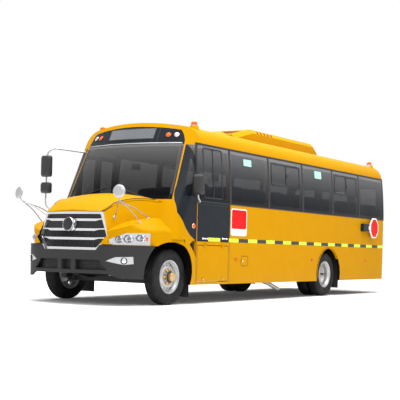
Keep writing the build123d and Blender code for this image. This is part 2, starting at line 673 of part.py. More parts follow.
def make_grille():
    """Bright frame, three bars, a blank round boss and the dark mesh behind them."""
    slab = along_y(grille_face(0), -6000, station(-800))
    field = along_y(grille_face(-GRILLE_FRAME), -6000, station(-700))
    frame = ((slab - field) & grille_surface(0)) - grille_surface(60)
    for z in GRILLE_BARS:
        bar = field & along_y(grille_bar(z), -6000, 0)
        frame = frame + ((bar & grille_surface(8)) - grille_surface(44))
    boss = Pos(0, station(-1060), BOSS_Z) * Rot(90, 0, 0) * Cylinder(88, 60)
    frame = frame + boss
    back = along_y(grille_face(-GRILLE_FRAME - SEAM), -6000, station(-700))
    mesh = (back & grille_surface(46)) - grille_surface(58)
    nodes["grille"] = [frame]
    nodes["grille_mesh"] = mesh - Pos(0, station(-1060), BOSS_Z) * Rot(90, 0, 0) * Cylinder(88 + SEAM, 200)


def lamp_face(margin):
    """Front view of the left headlamp: pointed towards the grille."""
    (low, high), (inner, outer) = LAMP_Z, LAMP_X
    points = [
        (inner - margin, 0, low + 25 - margin),
        (inner + 60, 0, low - margin),
        (outer + margin, 0, low - margin),
        (outer + margin, 0, high + margin),
        (inner + 210, 0, high - 8 + margin),
        (inner - margin, 0, low + 78 + margin),
    ]
    return make_face(Polyline(*points, close=True))


def lamp_slab(margin, depth):
    """Headlamp block, bounded by the nose's plan outline moved in by depth."""
    return along_y(lamp_face(margin), -6000, station(-560)) & lamp_solid(depth)


def lamp_solid(depth):
    """Everything behind the nose's plan outline moved in by depth."""
    return extrude(plan_face(depth, DOOR_START_Y, 0), amount=2000, dir=(0, 0, 1))


def lens_face(x, z, radius):
    """Front view of one round lens."""
    return Pos(x, 0, z) * Rot(90, 0, 0) * make_face(Edge.make_circle(radius))


def lamp_pockets():
    """Room in the nose for both headlamps."""
    pocket = along_y(lamp_face(SEAM), -6000, station(-555))
    room = block((0, 1300), (-6000, station(-555)), (0, 2000))
    return both_sides(pocket & room)


def bumper_form(inset):
    """Solid outline of the front bumper, moved in by inset."""
    plan = plan_face(inset - BUMPER_PROUD, FRONT_AXLE_Y - 250, BUMPER_BOTTOM_Z)
    return extrude(plan, amount=BUMPER_TOP_Z - BUMPER_BOTTOM_Z, dir=(0, 0, 1))


def make_front_bumper():
    """Wrap-round bumper with the grille's notch, an air mouth with two posts, and pockets for the fog lamps."""
    skin = bumper_form(0) - bumper_form(BUMPER_SKIN)
    skin = skin - block((-1400, 1400), (FRONT_AXLE_Y - 360, 6000), (0, 1000))
    arch = arch_cylinder(station(-40), BUMPER_ARCH_RADIUS, 0, 1400, AXLE_Z)
    skin = skin - both_sides(arch)
    notch = along_y(grille_face(SEAM), -6000, station(-800))
    mouth = make_face(Polyline(*[(x, 0, z) for x, z in BUMPER_MOUTH], close=True))
    mouth = along_y(mouth, -6000, station(-900))
    for x in (-130, 130):
        mouth = mouth - block((x - 38, x + 38), (-6000, 0), (400, 900))
    fog = make_face(Polyline(*[(x, 0, z) for x, z in FOG_POINTS], close=True))
    fog = along_y(fog, -6000, station(-700))
    chin = make_face(Polyline(*[(x, 0, z) for x, z in CHIN], (5000, 0, 0), (-5000, 0, 0), close=True))
    relief = along_y(chin, -6000, 0)
    skin = skin - notch - mouth - both_sides(fog) - relief
    nodes["front_bumper"] = skin

    fog_body = (fog & bumper_form(4)) - bumper_form(BUMPER_SKIN)
    fog_inner = block((0, 1300), (-6000, 0), (0, 2000))
    fog_body = fog_body & fog_inner
    head = lamp_slab(0, 0) & fender_mass(2, BODY_BOTTOM_Z)
    head = head - lamp_slab(20, 60) & fog_inner
    for x, z, radius in LENSES:
        well = along_y(lens_face(x, z, radius), -6000, station(-560)) - lamp_solid(38)
        bowl = along_y(lens_face(x, z, radius - 10), -6000, station(-560)) & lamp_solid(16)
        head = (head - well) + (bowl & lamp_slab(0, 16))
    lamps = both_sides(head)
    nodes["front_lamps"] = [lamps, both_sides(fog_body)]


def make_tyre(x):
    """One tyre, turned about the X axis, with its crown, shoulders and beads."""
    half = TYRE_WIDTH / 2
    shoulder = TYRE_RADIUS - 16
    profile = Polyline(
        (-half + 30, BEAD_RADIUS),
        (-half + 8, RIM_RADIUS + 30),
        (-half, RIM_RADIUS + 80),
        (-half + 6, shoulder - 25),
        (-half + 24, shoulder + 6),
        (-half + 50, TYRE_RADIUS),
        (half - 50, TYRE_RADIUS),
        (half - 24, shoulder + 6),
        (half - 6, shoulder - 25),
        (half, RIM_RADIUS + 80),
        (half - 8, RIM_RADIUS + 30),
        (half - 30, BEAD_RADIUS),
        close=True,
    )
    face = make_face(profile)
    return Pos(x, 0, 0) * revolve(face, Axis.X)


def make_wheel(axle_y, centres, face_x, side):
    """Tyres and rims of one wheel position at the given tyre centres. face_x is the disc's mounting plane."""
    half = TYRE_WIDTH / 2 - 26
    tyres = []
    rims = []
    for centre in centres:
        tyres.append(make_tyre(centre))
        outer = make_face(
            Polyline(
                (-half, BEAD_RADIUS - SEAM),
                (-half + 14, BEAD_RADIUS - SEAM),
                (-38, RIM_RADIUS - 34),
                (38, RIM_RADIUS - 34),
                (half - 14, BEAD_RADIUS - SEAM),
                (half, BEAD_RADIUS - SEAM),
                (half, RIM_RADIUS - 22),
                (42, RIM_RADIUS - 46),
                (-42, RIM_RADIUS - 46),
                (-half, RIM_RADIUS - 22),
                close=True,
            )
        )
        flange = make_face(
            Polyline(
                (half - 2, RIM_RADIUS - 22),
                (half - 2, RIM_RADIUS - 9),
                (half + 8, RIM_RADIUS - 2),
                (half + 12, RIM_RADIUS - 6),
                (half + 6, RIM_RADIUS - 22),
                close=True,
            )
        )
        ring = revolve(outer, Axis.X) + revolve(flange, Axis.X) + mirror(revolve(flange, Axis.X), about=Plane.YZ)
        towards = face_x - centre
        sign = 1 if towards > 0 else -1
        disc = make_face(
            Polyline(
                (towards, HUB_RADIUS + 2),
                (towards, 160),
                (towards - sign * 22, 186),
                (sign * 30, RIM_RADIUS - 45),
                (sign * 18, RIM_RADIUS - 45),
                (towards - sign * 34, 180),
                (towards - sign * 14, 154),
                (towards - sign * 14, HUB_RADIUS + 2),
                close=True,
            )
        )
        ring = ring + revolve(disc, Axis.X)
        for index in range(HAND_HOLES):
            angle = 360 / HAND_HOLES * (index + 0.5)
            hole = Rot(angle, 0, 0) * Pos(0, 0, 200) * Rot(0, 90, 0) * Cylinder(20, 400)
            ring = ring - (hole & block((min(0, 3 * towards), max(0, 3 * towards)), (-300, 300), (-300, 300)))
        rims.append(Pos(centre, 0, 0) * ring)
    hub = Pos(face_x - 40, 0, 0) * Rot(0, 90, 0) * Cylinder(HUB_RADIUS, 150)
    cap = Pos(face_x + 60, 0, 0) * Rot(0, 90, 0) * Cylinder(HUB_RADIUS - 22, 60)
    flange = Pos(face_x - 26, 0, 0) * Rot(0, 90, 0) * Cylinder(STUD_CIRCLE / 2 + 28, 24)
    hub = hub + cap + flange
    if len(centres) == 1:
        hub = hub - Pos(face_x - HUB_INNER, 0, 0) * Rot(0, 90, 0) * Cylinder(STUB_RADIUS + SEAM, 2 * STUB_DEPTH)
    for index in range(STUD_COUNT):
        angle = 360 / STUD_COUNT * index
        stud = Rot(angle, 0, 0) * Pos(face_x + 4, 0, STUD_CIRCLE / 2) * Rot(0, 90, 0) * Cylinder(15, 44)
        hub = hub + stud
    metal = hub
    for rim in rims:
        metal = metal + rim
    place = Pos(0, axle_y, AXLE_Z)
    tyres = [place * tyre for tyre in tyres]
    metal = place * metal
    if side < 0:
        tyres = [mirror(tyre, about=Plane.YZ) for tyre in tyres]
        metal = mirror(metal, about=Plane.YZ)
    return tyres, metal


def make_wheels():
    """All four wheel positions, each with its tyres and its bare metal."""
    front_face = FRONT_TRACK_HALF + FRONT_DISH
    rear_inner = REAR_OUTER_HALF - TWIN_SPACING
    rear_face = (REAR_OUTER_HALF + rear_inner) / 2
    for name, side in (("left", 1), ("right", -1)):
        tyres, metal = make_wheel(FRONT_AXLE_Y, [FRONT_TRACK_HALF], front_face, side)
        nodes[f"front_{name}_tyre"] = tyres
        nodes[f"front_{name}_rim"] = metal
        tyres, metal = make_wheel(REAR_AXLE_Y, [rear_inner, REAR_OUTER_HALF], rear_face, side)
        nodes[f"rear_{name}_tyres"] = tyres
        nodes[f"rear_{name}_rims"] = metal


def leaf_spring(x, y, span, z):
    """Stack of curved leaves between two rail brackets."""
    leaves = None
    for index in range(4):
        half = span / 2 * (1 - 0.2 * index)
        sag = SPRING_SAG * (1 - 0.2 * index) ** 2
        low = z - 14 * index
        top = ThreePointArc((0, y - half, low + sag), (0, y, low), (0, y + half, low + sag))
        base = ThreePointArc((0, y - half, low + sag - 15), (0, y, low - 15), (0, y + half, low + sag - 15))
        ends = [Line(top @ 0, base @ 0), Line(top @ 1, base @ 1)]
        leaf = along_x(make_face(Curve() + [top, base] + ends), x - 35, x + 35)
        leaves = leaf if leaves is None else leaves + leaf
    return leaves


def make_chassis():
    """Frame rails, axles with their springs, knuckles and the running gear that shows from below."""
    front = station(-900)
    rear = BODY_REAR_Y - 150
    outer = RAIL_HALF + RAIL_WIDTH / 2
    rail = block((outer - RAIL_WIDTH, outer), (front, rear), (RAIL_BOTTOM_Z, RAIL_BOTTOM_Z + RAIL_HEIGHT))
    pocket = block(
        (outer - RAIL_WIDTH - 1, outer - 10),
        (front - 1, rear + 1),
        (RAIL_BOTTOM_Z + 10, RAIL_BOTTOM_Z + RAIL_HEIGHT - 10),
    )
    rail = rail - pocket
    for distance in (-700, 700, 4650, 5950):
        y = station(distance)
        hanger = block((RAIL_HALF - 42, RAIL_HALF + 42), (y - 40, y + 40), (RAIL_BOTTOM_Z - HANGER_DROP, RAIL_BOTTOM_Z + 12))
        rail = rail + hanger
    # Columns: Y of the eye's bore, start and end of its plate along Y
    for y, y0, y1 in ((front - 70, front - 110, front + 20), (rear + 50, rear - 20, rear + 90)):
        z = RAIL_BOTTOM_Z + TOW_EYE_RISE
        plate = block((RAIL_HALF - 45, RAIL_HALF + 45), (y0, y1), (z - TOW_EYE_WIDTH / 2, z + TOW_EYE_WIDTH / 2))
        rail = rail + plate - Pos(RAIL_HALF, y, z) * Cylinder(TOW_EYE_RADIUS, 2 * TOW_EYE_WIDTH)
    nodes["chassis_frame"] = [rail, mirror(rail, about=Plane.YZ)]

    members = []
    web = outer - 10 - SEAM
    for distance in (-880, 1250, 2500, 3900, 4700, 5900, 7700):
        y = station(distance)
        members.append(block((-web, web), (y - 30, y + 30), (RAIL_BOTTOM_Z + 90, RAIL_BOTTOM_Z + RAIL_HEIGHT - 20)))
    for distance in (1850, 3100, 4300, 6300, 7500):
        y = station(distance)
        arm_z = (RAIL_BOTTOM_Z + 120, RAIL_BOTTOM_Z + RAIL_HEIGHT)
        arm = block((outer + SEAM, BODY_HALF_WIDTH - WALL - SEAM), (y - 25, y + 25), arm_z)
        members.extend([arm, mirror(arm, about=Plane.YZ)])
    nodes["cross_members"] = members

    beam_z = AXLE_Z - 40
    beam = block((-KINGPIN_HALF + 80, KINGPIN_HALF - 80), (FRONT_AXLE_Y - 40, FRONT_AXLE_Y + 40), (beam_z - 75, beam_z + 20))
    boss = Pos(KINGPIN_HALF - 85, FRONT_AXLE_Y, AXLE_Z) * Cylinder(42, 100)
    pin = Pos(KINGPIN_HALF, FRONT_AXLE_Y, AXLE_Z) * Cylinder(22, 230)
    eye = Pos(KINGPIN_HALF, FRONT_AXLE_Y, AXLE_Z) * Cylinder(44, 110)
    neck = block((KINGPIN_HALF - 110, KINGPIN_HALF - 20), (FRONT_AXLE_Y - 30, FRONT_AXLE_Y + 30), (AXLE_Z - 50, AXLE_Z + 45))
    axle = beam + both_sides(boss + pin + eye + neck)
    axle = axle + both_sides(leaf_spring(RAIL_HALF, FRONT_AXLE_Y, 1400, SPRING_Z))
    seat = block((RAIL_HALF - 50, RAIL_HALF + 50), (FRONT_AXLE_Y - 60, FRONT_AXLE_Y + 60), (beam_z - 20, RAIL_BOTTOM_Z - 175))
    nodes["front_axle"] = axle + both_sides(seat)

    stub_end = FRONT_TRACK_HALF + FRONT_DISH - HUB_INNER + STUB_DEPTH - SEAM
    stub_mid = (KINGPIN_HALF + 60 + stub_end) / 2
    stub = Pos(stub_mid, FRONT_AXLE_Y, AXLE_Z) * Rot(0, 90, 0) * Cylinder(STUB_RADIUS, stub_end - KINGPIN_HALF - 60)
    fork = block((KINGPIN_HALF + 50, KINGPIN_HALF + 84), (FRONT_AXLE_Y - 50, FRONT_AXLE_Y + 50), (AXLE_Z - 108, AXLE_Z + 108))
    for sign in (-1, 1):
        z = AXLE_Z + sign * 84
        ear = Pos(KINGPIN_HALF, FRONT_AXLE_Y, z) * Cylinder(44, 48)
        bridge = block((KINGPIN_HALF, KINGPIN_HALF + 70), (FRONT_AXLE_Y - 40, FRONT_AXLE_Y + 40), (z - 24, z + 24))
        ear = (ear + bridge) - Pos(KINGPIN_HALF, FRONT_AXLE_Y, z) * Cylinder(22.06, 60)
        fork = fork + ear
    knuckle = fork + stub
    nodes["front_left_knuckle"] = knuckle
    nodes["front_right_knuckle"] = mirror(knuckle, about=Plane.YZ)

    tube_end = REAR_OUTER_HALF - TWIN_SPACING / 2 - HUB_INNER - SEAM
    tube = Pos(0, REAR_AXLE_Y, AXLE_Z) * Rot(0, 90, 0) * Cylinder(58, 2 * tube_end)
    pumpkin = Pos(0, REAR_AXLE_Y, AXLE_Z) * Rot(0, 90, 0) * Cylinder(190, 210)
    nose = Pos(0, REAR_AXLE_Y - 230, AXLE_Z) * Rot(90, 0, 0) * Cylinder(70, 200)
    axle = tube + pumpkin + nose
    springs = leaf_spring(RAIL_HALF, REAR_AXLE_Y, 1300, SPRING_Z)
    pad = block((RAIL_HALF - 50, RAIL_HALF + 50), (REAR_AXLE_Y - 70, REAR_AXLE_Y + 70), (AXLE_Z - 90, AXLE_Z + 90))
    nodes["rear_axle"] = axle + both_sides(springs + (pad & block((0, 2000), (0, 5000), (0, RAIL_BOTTOM_Z - 175))))

    engine = block((-300, 300), (station(-650), station(40)), (RAIL_BOTTOM_Z - 10, 1150))
    gearbox = block((-170, 170), (station(39), station(900)), (RAIL_BOTTOM_Z - 60, RAIL_BOTTOM_Z + 200))
    shaft = rod([(0, station(880), RAIL_BOTTOM_Z + 20), (0, REAR_AXLE_Y - 300, AXLE_Z)], 42)
    shaft = shaft - block((-200, 200), (REAR_AXLE_Y - 330 - SEAM, REAR_AXLE_Y), (0, 1000))
    mount = block((-RAIL_HALF - 25 + SEAM, RAIL_HALF + 25 - SEAM), (station(-340), station(-260)),
                  (RAIL_BOTTOM_Z + 40, RAIL_BOTTOM_Z + 120))
    nodes["driveline"] = engine + gearbox + shaft + mount


def make_underbody():
    """Floor, wheel boxes, entrance steps, tank, batteries, exhaust and mud flaps."""
    side = BODY_HALF_WIDTH - WALL - SEAM
    floor_under = FLOOR_Z - FLOOR_THICKNESS
    front = STEP_FRONT_Y + 20
    rear = BODY_REAR_Y - WALL - SEAM
    floor = block((-side, side), (STEP_FRONT_Y, rear), (floor_under, FLOOR_Z))
    floor = floor + block((-ARCH_WALL_X + 5, ARCH_WALL_X - 5), (station(66), STEP_FRONT_Y), (FLOOR_Z - 20, FLOOR_Z))
    floor = floor - block((-side - 5, STEP_INNER_X), (STEP_FRONT_Y - SEAM, DOOR_END_Y + 10), (0, FLOOR_Z + 5))
    bearer_z = RAIL_BOTTOM_Z + RAIL_HEIGHT + SEAM
    for x in (-RAIL_HALF, RAIL_HALF):
        floor = floor + block((x - 30, x + 30), (station(1100), rear - 100), (bearer_z, floor_under))
    for distance in (1750, 2600, 3450, 4300, 6300, 7150):
        y = station(distance)
        floor = floor + block((-side + 20, side - 20), (y - 30, y + 30), (bearer_z + 80, floor_under))
    floor = floor + block((480, side), (STEP_FRONT_Y, front), (400, floor_under))
    for x in ((600, side), (-side, -600)):
        box = block(x, (REAR_AXLE_Y - WHEEL_BOX_HALF, REAR_AXLE_Y + WHEEL_BOX_HALF), (floor_under, WHEEL_BOX_TOP))
        edge = (x[0] + 28, x[1]) if x[0] > 0 else (x[0], x[1] - 28)
        void = block(edge, (REAR_AXLE_Y - 532, REAR_AXLE_Y + 532), (FLOOR_Z - 200, WHEEL_BOX_TOP - 28))
        floor = floor + box - void
    nodes["floor_pan"] = floor

    low = FLOOR_Z - 2 * STEP_RISE
    middle = FLOOR_Z - STEP_RISE
    y = (STEP_FRONT_Y, DOOR_END_Y - 12)
    edge = -side + 20
    tread = 30
    steps = block((edge, STEP_MIDDLE_X), y, (low - tread, low))
    steps = steps + block((STEP_MIDDLE_X - tread, STEP_MIDDLE_X), y, (low - tread, middle))
    steps = steps + block((STEP_MIDDLE_X - tread, STEP_INNER_X - SEAM), y, (middle - tread, middle))
    steps = steps + block((STEP_INNER_X - tread, STEP_INNER_X - SEAM), y, (middle - tread, FLOOR_Z))
    for start, end in ((y[0], y[0] + 20), (y[1] - 20, y[1])):
        steps = steps + block((edge, STEP_INNER_X - SEAM), (start, end), (low - tread, floor_under - SEAM))
    nodes["entrance_steps"] = steps

    outer_rail = RAIL_HALF + RAIL_WIDTH / 2 + SEAM
    tank = block((560, 1080), (station(1750), station(2750)), (390, 660))
    tank = fillet(tank.edges().filter_by(Axis.Y), 60)
    for distance in (1950, 2550):
        y = (station(distance) - 25, station(distance) + 25)
        tank = tank + block((540, 1095), y, (378, 672))
        tank = tank + block((outer_rail, 560), y, (RAIL_BOTTOM_Z + 20, RAIL_BOTTOM_Z + 100))
    tank = tank + rod([(1000, station(1990), 620), (1165, station(1990), 690)], 32)
    battery = block((760, 1150), (DOOR_START_Y + 90, CAB_END_Y - 90), (400, 640))
    tray = block((outer_rail, 780), (DOOR_START_Y + 200, CAB_END_Y - 200), (RAIL_BOTTOM_Z + 20, RAIL_BOTTOM_Z + 70))
    nodes["tank_and_batteries"] = [tank, battery + tray]

    route = [
        (250, station(200), 480),
        (250, station(1600), 470),
        (250, station(2700), 420),
        (420, station(2920), 400),
        (900, station(3010), 350),
        (1060, station(3130), 280),
        (1080, station(3450), 175),
    ]
    pipe = rod(route, 36, 50)
    can = Pos(250, station(1250), 472) * Rot(90, 0, 0) * Cylinder(100, 700)
    hanger = block((235, 265), (station(1235), station(1265)), (560, RAIL_BOTTOM_Z + 90 - SEAM))
    nodes["exhaust"] = pipe + can + hanger

    # Columns: Y of the front face, inner X, outer X, lowest and highest Z
    rows = (
        (STEP_FRONT_Y - SEAM - 12, 800, 1095, 110, 520),
        (REAR_AXLE_Y + 564, 760, 1170, 150, floor_under - SEAM),
    )
    flaps = []
    for y0, x0, x1, z0, z1 in rows:
        flap = block((x0, x1), (y0, y0 + 12), (z0, z1))
        flaps.append(flap)
        flaps.append(mirror(flap, about=Plane.YZ))
    nodes["mud_flaps"] = flaps


def seat_unit(x, y, width):
    """Cushion and raised back of one bench, facing forwards."""
    z = FLOOR_Z + SEAT_HEIGHT
    cushion = block((x - width / 2, x + width / 2), (y - SEAT_DEPTH, y), (z - SEAT_CUSHION, z))
    back = block((x - width / 2, x + width / 2), (y + SEAM, y + SEAM + SEAT_BACK), (z - 40, z + SEAT_BACK_HEIGHT))
    back = fillet(back.edges().filter_by(Axis.Y), 40)
    legs = []
    for side in (-0.35, 0.35):
        lx = x + side * width
        on_box = abs(lx) > 600 and abs(y - 180 - REAR_AXLE_Y) < WHEEL_BOX_HALF
        base = WHEEL_BOX_TOP if on_box else FLOOR_Z
        legs.append(block((lx - 20, lx + 20), (y - 230, y - 130), (base + SEAM, z - SEAT_CUSHION)))
    return cushion + legs[0] + legs[1] + back


def make_interior():
    """Dashboard, steering wheel, driver's seat and the rows of benches."""
    x = BODY_HALF_WIDTH - WALL - 30 - SEAT_WIDTH / 2
    benches = []
    for row in range(SEAT_ROWS):
        y = CAB_END_Y + 560 + row * SEAT_PITCH
        for side in (-1, 1):
            benches.append(seat_unit(side * x, y, SEAT_WIDTH))
    nodes["seats"] = benches + [seat_unit(620, CAB_END_Y - 150, 500)]
    dash = block((-1090, 1090), (station(66), station(300)), (1120, 1540))
    dash = fillet([e for e in dash.edges().filter_by(Axis.X) if e.center().Z > 1500], 60)
    cabin = body_prism(WALL + 1, -6000, 0) & cab_form(WALL + 1)
    toe = block((-ARCH_WALL_X + 5, ARCH_WALL_X - 5), (station(66), station(86)), (FLOOR_Z + SEAM, 1130))
    column = rod([(620, station(280), 1330), (620, station(440), 1500)], 30)
    wheel_plane = Plane(origin=(620, station(440), 1500), z_dir=(0, 0.68, 0.73))
    ring = wheel_plane * Torus(210, 16)
    hub = wheel_plane * Cylinder(60, 40)
    spokes = wheel_plane * Box(400, 40, 16)
    nodes["dashboard"] = ((dash + toe) & cabin) + column + ring + hub + spokes


def door_leaf(start, end):
    """One leaf of the entrance door, drawn on the left, with its tall window cut through."""
    leaf = skin_band(0, LEAF_THICKNESS, DOOR_BOTTOM_Z, DOOR_TOP_Z, start, end)
    hole = opening(start + 70, end - 70, 1000, DOOR_TOP_Z - 90, 40)
    step = skin_band(-20, GLASS_THICKNESS + 0.3, 960, DOOR_TOP_Z - 50, start + 30, end - 30)
    pane = skin_band(0, GLASS_THICKNESS, 962, DOOR_TOP_Z - 52, start + 32, end - 32)
    return leaf - hole - step, pane


def meeting_edge(middle, towards):
    """Wedge off a leaf's free edge, so that the bowed leaves pass each other as they swing out."""
    outer = -BODY_HALF_WIDTH
    near = middle - towards * DOOR_GAP / 2
    far = middle + towards * 200
    corners = [(outer - 50, near), (outer, near), (outer + 100, near - towards * MEETING_BEVEL), (outer + 100, far), (outer - 50, far)]
    return extrude(make_face(Polyline(*[(x, y, 0) for x, y in corners], close=True)), amount=3000, dir=(0, 0, 1))


def make_doors():
    """Entrance leaves on the right, locker hatch and filler flap on the left, and the rear exit."""
    first = DOOR_START_Y + DOOR_GAP
    last = DOOR_END_Y - DOOR_GAP
    middle = (first + last) / 2
    hinge_x = BODY_HALF_WIDTH + HINGE_PROUD
    # Columns: name, start and end of the leaf, Y of its hinge, direction from hinge to leaf, node of the fixed half
    rows = (
        ("front", first, middle - DOOR_GAP / 2, first - DOOR_GAP / 2, 1, "quarter_panels"),
        ("rear", middle + DOOR_GAP / 2, last, last + DOOR_GAP / 2, -1, "side_panel_right"),
    )
    for name, start, end, hinge_y, towards, frame in rows:
        leaf, pane = door_leaf(start, end)
        leaf = mirror(leaf, about=Plane.YZ) - meeting_edge(middle, towards)
        for z in DOOR_HINGE_Z:
            axis = Plane(origin=(-hinge_x, hinge_y, z), x_dir=(0, towards, 0), z_dir=(0, 0, 1))
            moving, fixed = hinge(axis, -towards * HINGE_PROUD)
            leaf = leaf + moving
            nodes[frame] = nodes[frame] + fixed
        nodes[f"entrance_door_{name}"] = leaf
        nodes[f"entrance_glass_{name}"] = mirror(pane, about=Plane.YZ)

    gap = FLAP_GAP
    side = (BODY_HALF_WIDTH - 30, BODY_HALF_WIDTH)
    hatch = block(side, (HATCH_Y[0] + gap, HATCH_Y[1] - gap), (HATCH_BOTTOM_Z + gap, HATCH_TOP_Z - gap))
    for y in (HATCH_Y[0] + 180, HATCH_Y[1] - 160):
        handle_z = (HATCH_BOTTOM_Z + 24, HATCH_BOTTOM_Z + 62)
        hatch = hatch + block((BODY_HALF_WIDTH - 1, BODY_HALF_WIDTH + 8), (y - 45, y + 45), handle_z)
    for y in (HATCH_Y[0] + 200, HATCH_Y[1] - 200):
        axis = Plane(origin=(hinge_x, y, HATCH_TOP_Z - gap / 2), x_dir=(0, 0, -1), z_dir=(0, 1, 0))
        moving, fixed = hinge(axis, HINGE_PROUD)
        hatch = hatch + moving
        nodes["side_panel_left"] = nodes["side_panel_left"] + fixed
    nodes["side_hatch"] = hatch

    flap_x = (BODY_HALF_WIDTH - 16, BODY_HALF_WIDTH)
    flap = block(flap_x, (FLAP_Y[0] + gap, FLAP_Y[1] - gap), (FLAP_Z[0] + gap, FLAP_Z[1] - gap))
    axis = Plane(origin=(hinge_x, FLAP_Y[0] + gap / 2, sum(FLAP_Z) / 2), x_dir=(0, 1, 0), z_dir=(0, 0, 1))
    moving, fixed = hinge(axis, HINGE_PROUD, 60, 24)
    nodes["fuel_flap"] = flap + moving
    nodes["side_panel_left"] = nodes["side_panel_left"] + fixed

    edge = EXIT_HALF_WIDTH - gap
    door = block((-edge, edge), (BODY_REAR_Y - 40, BODY_REAR_Y), (EXIT_BOTTOM_Z + gap, EXIT_TOP_Z - gap))
    window = (-EXIT_HALF_WIDTH + 70, EXIT_HALF_WIDTH - 70)
    pane_z = (REAR_WINDOW_Z[0], EXIT_TOP_Z - 90)
    face = Plane.XZ * Pos(0, (pane_z[0] + pane_z[1]) / 2) * RectangleRounded(
        window[1] - window[0] - 50, pane_z[1] - pane_z[0] - 50, OPENING_CORNER
    )
    door = door - along_y(face, BODY_REAR_Y - 100, BODY_REAR_Y + 10)
    door = door - block(window, (BODY_REAR_Y - GLASS_THICKNESS, BODY_REAR_Y + 1), pane_z)
    door = door + block((edge - 130, edge - 30), (BODY_REAR_Y - 1, BODY_REAR_Y + 20), (1380, 1420))
    for z in (1060, 1430, 2290):
        axis = Plane(origin=(-edge - gap / 2, BODY_REAR_Y + HINGE_PROUD, z), x_dir=(1, 0, 0), z_dir=(0, 0, 1))
        moving, fixed = hinge(axis, -HINGE_PROUD)
        door = door + moving
        nodes["rear_wall"] = nodes["rear_wall"] + fixed
    nodes["rear_exit_door"] = door
    pane_y = (BODY_REAR_Y - GLASS_THICKNESS + SEAM, BODY_REAR_Y)
    nodes["rear_exit_glass"] = block((window[0] + 2, window[1] - 2), pane_y, (pane_z[0] + 2, pane_z[1] - 2))


def make_stop_arm():
    """Hinge box and the octagonal sign that folds against the left side."""
    y = station(STOP_HINGE)
    base = block(
        (half_width(STOP_Z) + SEAM, BODY_HALF_WIDTH + 70),
        (y - 300, y - 24),
        (STOP_Z - STOP_ARM_HALF_HEIGHT, STOP_Z + STOP_ARM_HALF_HEIGHT),
    )
    hinge_x = BODY_HALF_WIDTH + 62
    axis = Plane(origin=(hinge_x, y, STOP_Z), x_dir=(0, 1, 0), z_dir=(0, 0, 1))
    moving, fixed = hinge(axis, 9, 150, 40)
    nodes["stop_arm_bracket"] = base + fixed
    plane = Plane(origin=(hinge_x + 4, y + 26 + STOP_SIZE / 2, STOP_Z), x_dir=(0, 1, 0), z_dir=(1, 0, 0))
    octagon = plane * Rot(0, 0, 22.5) * RegularPolygon(STOP_SIZE / 2, 8, major_radius=False)
    sign = extrude(octagon, amount=STOP_THICKNESS, dir=(1, 0, 0))
    arm = block((hinge_x - 9, hinge_x + 10), (y + 12, y + 120), (STOP_Z - 34, STOP_Z + 34))
    nodes["stop_sign"] = sign + arm + moving


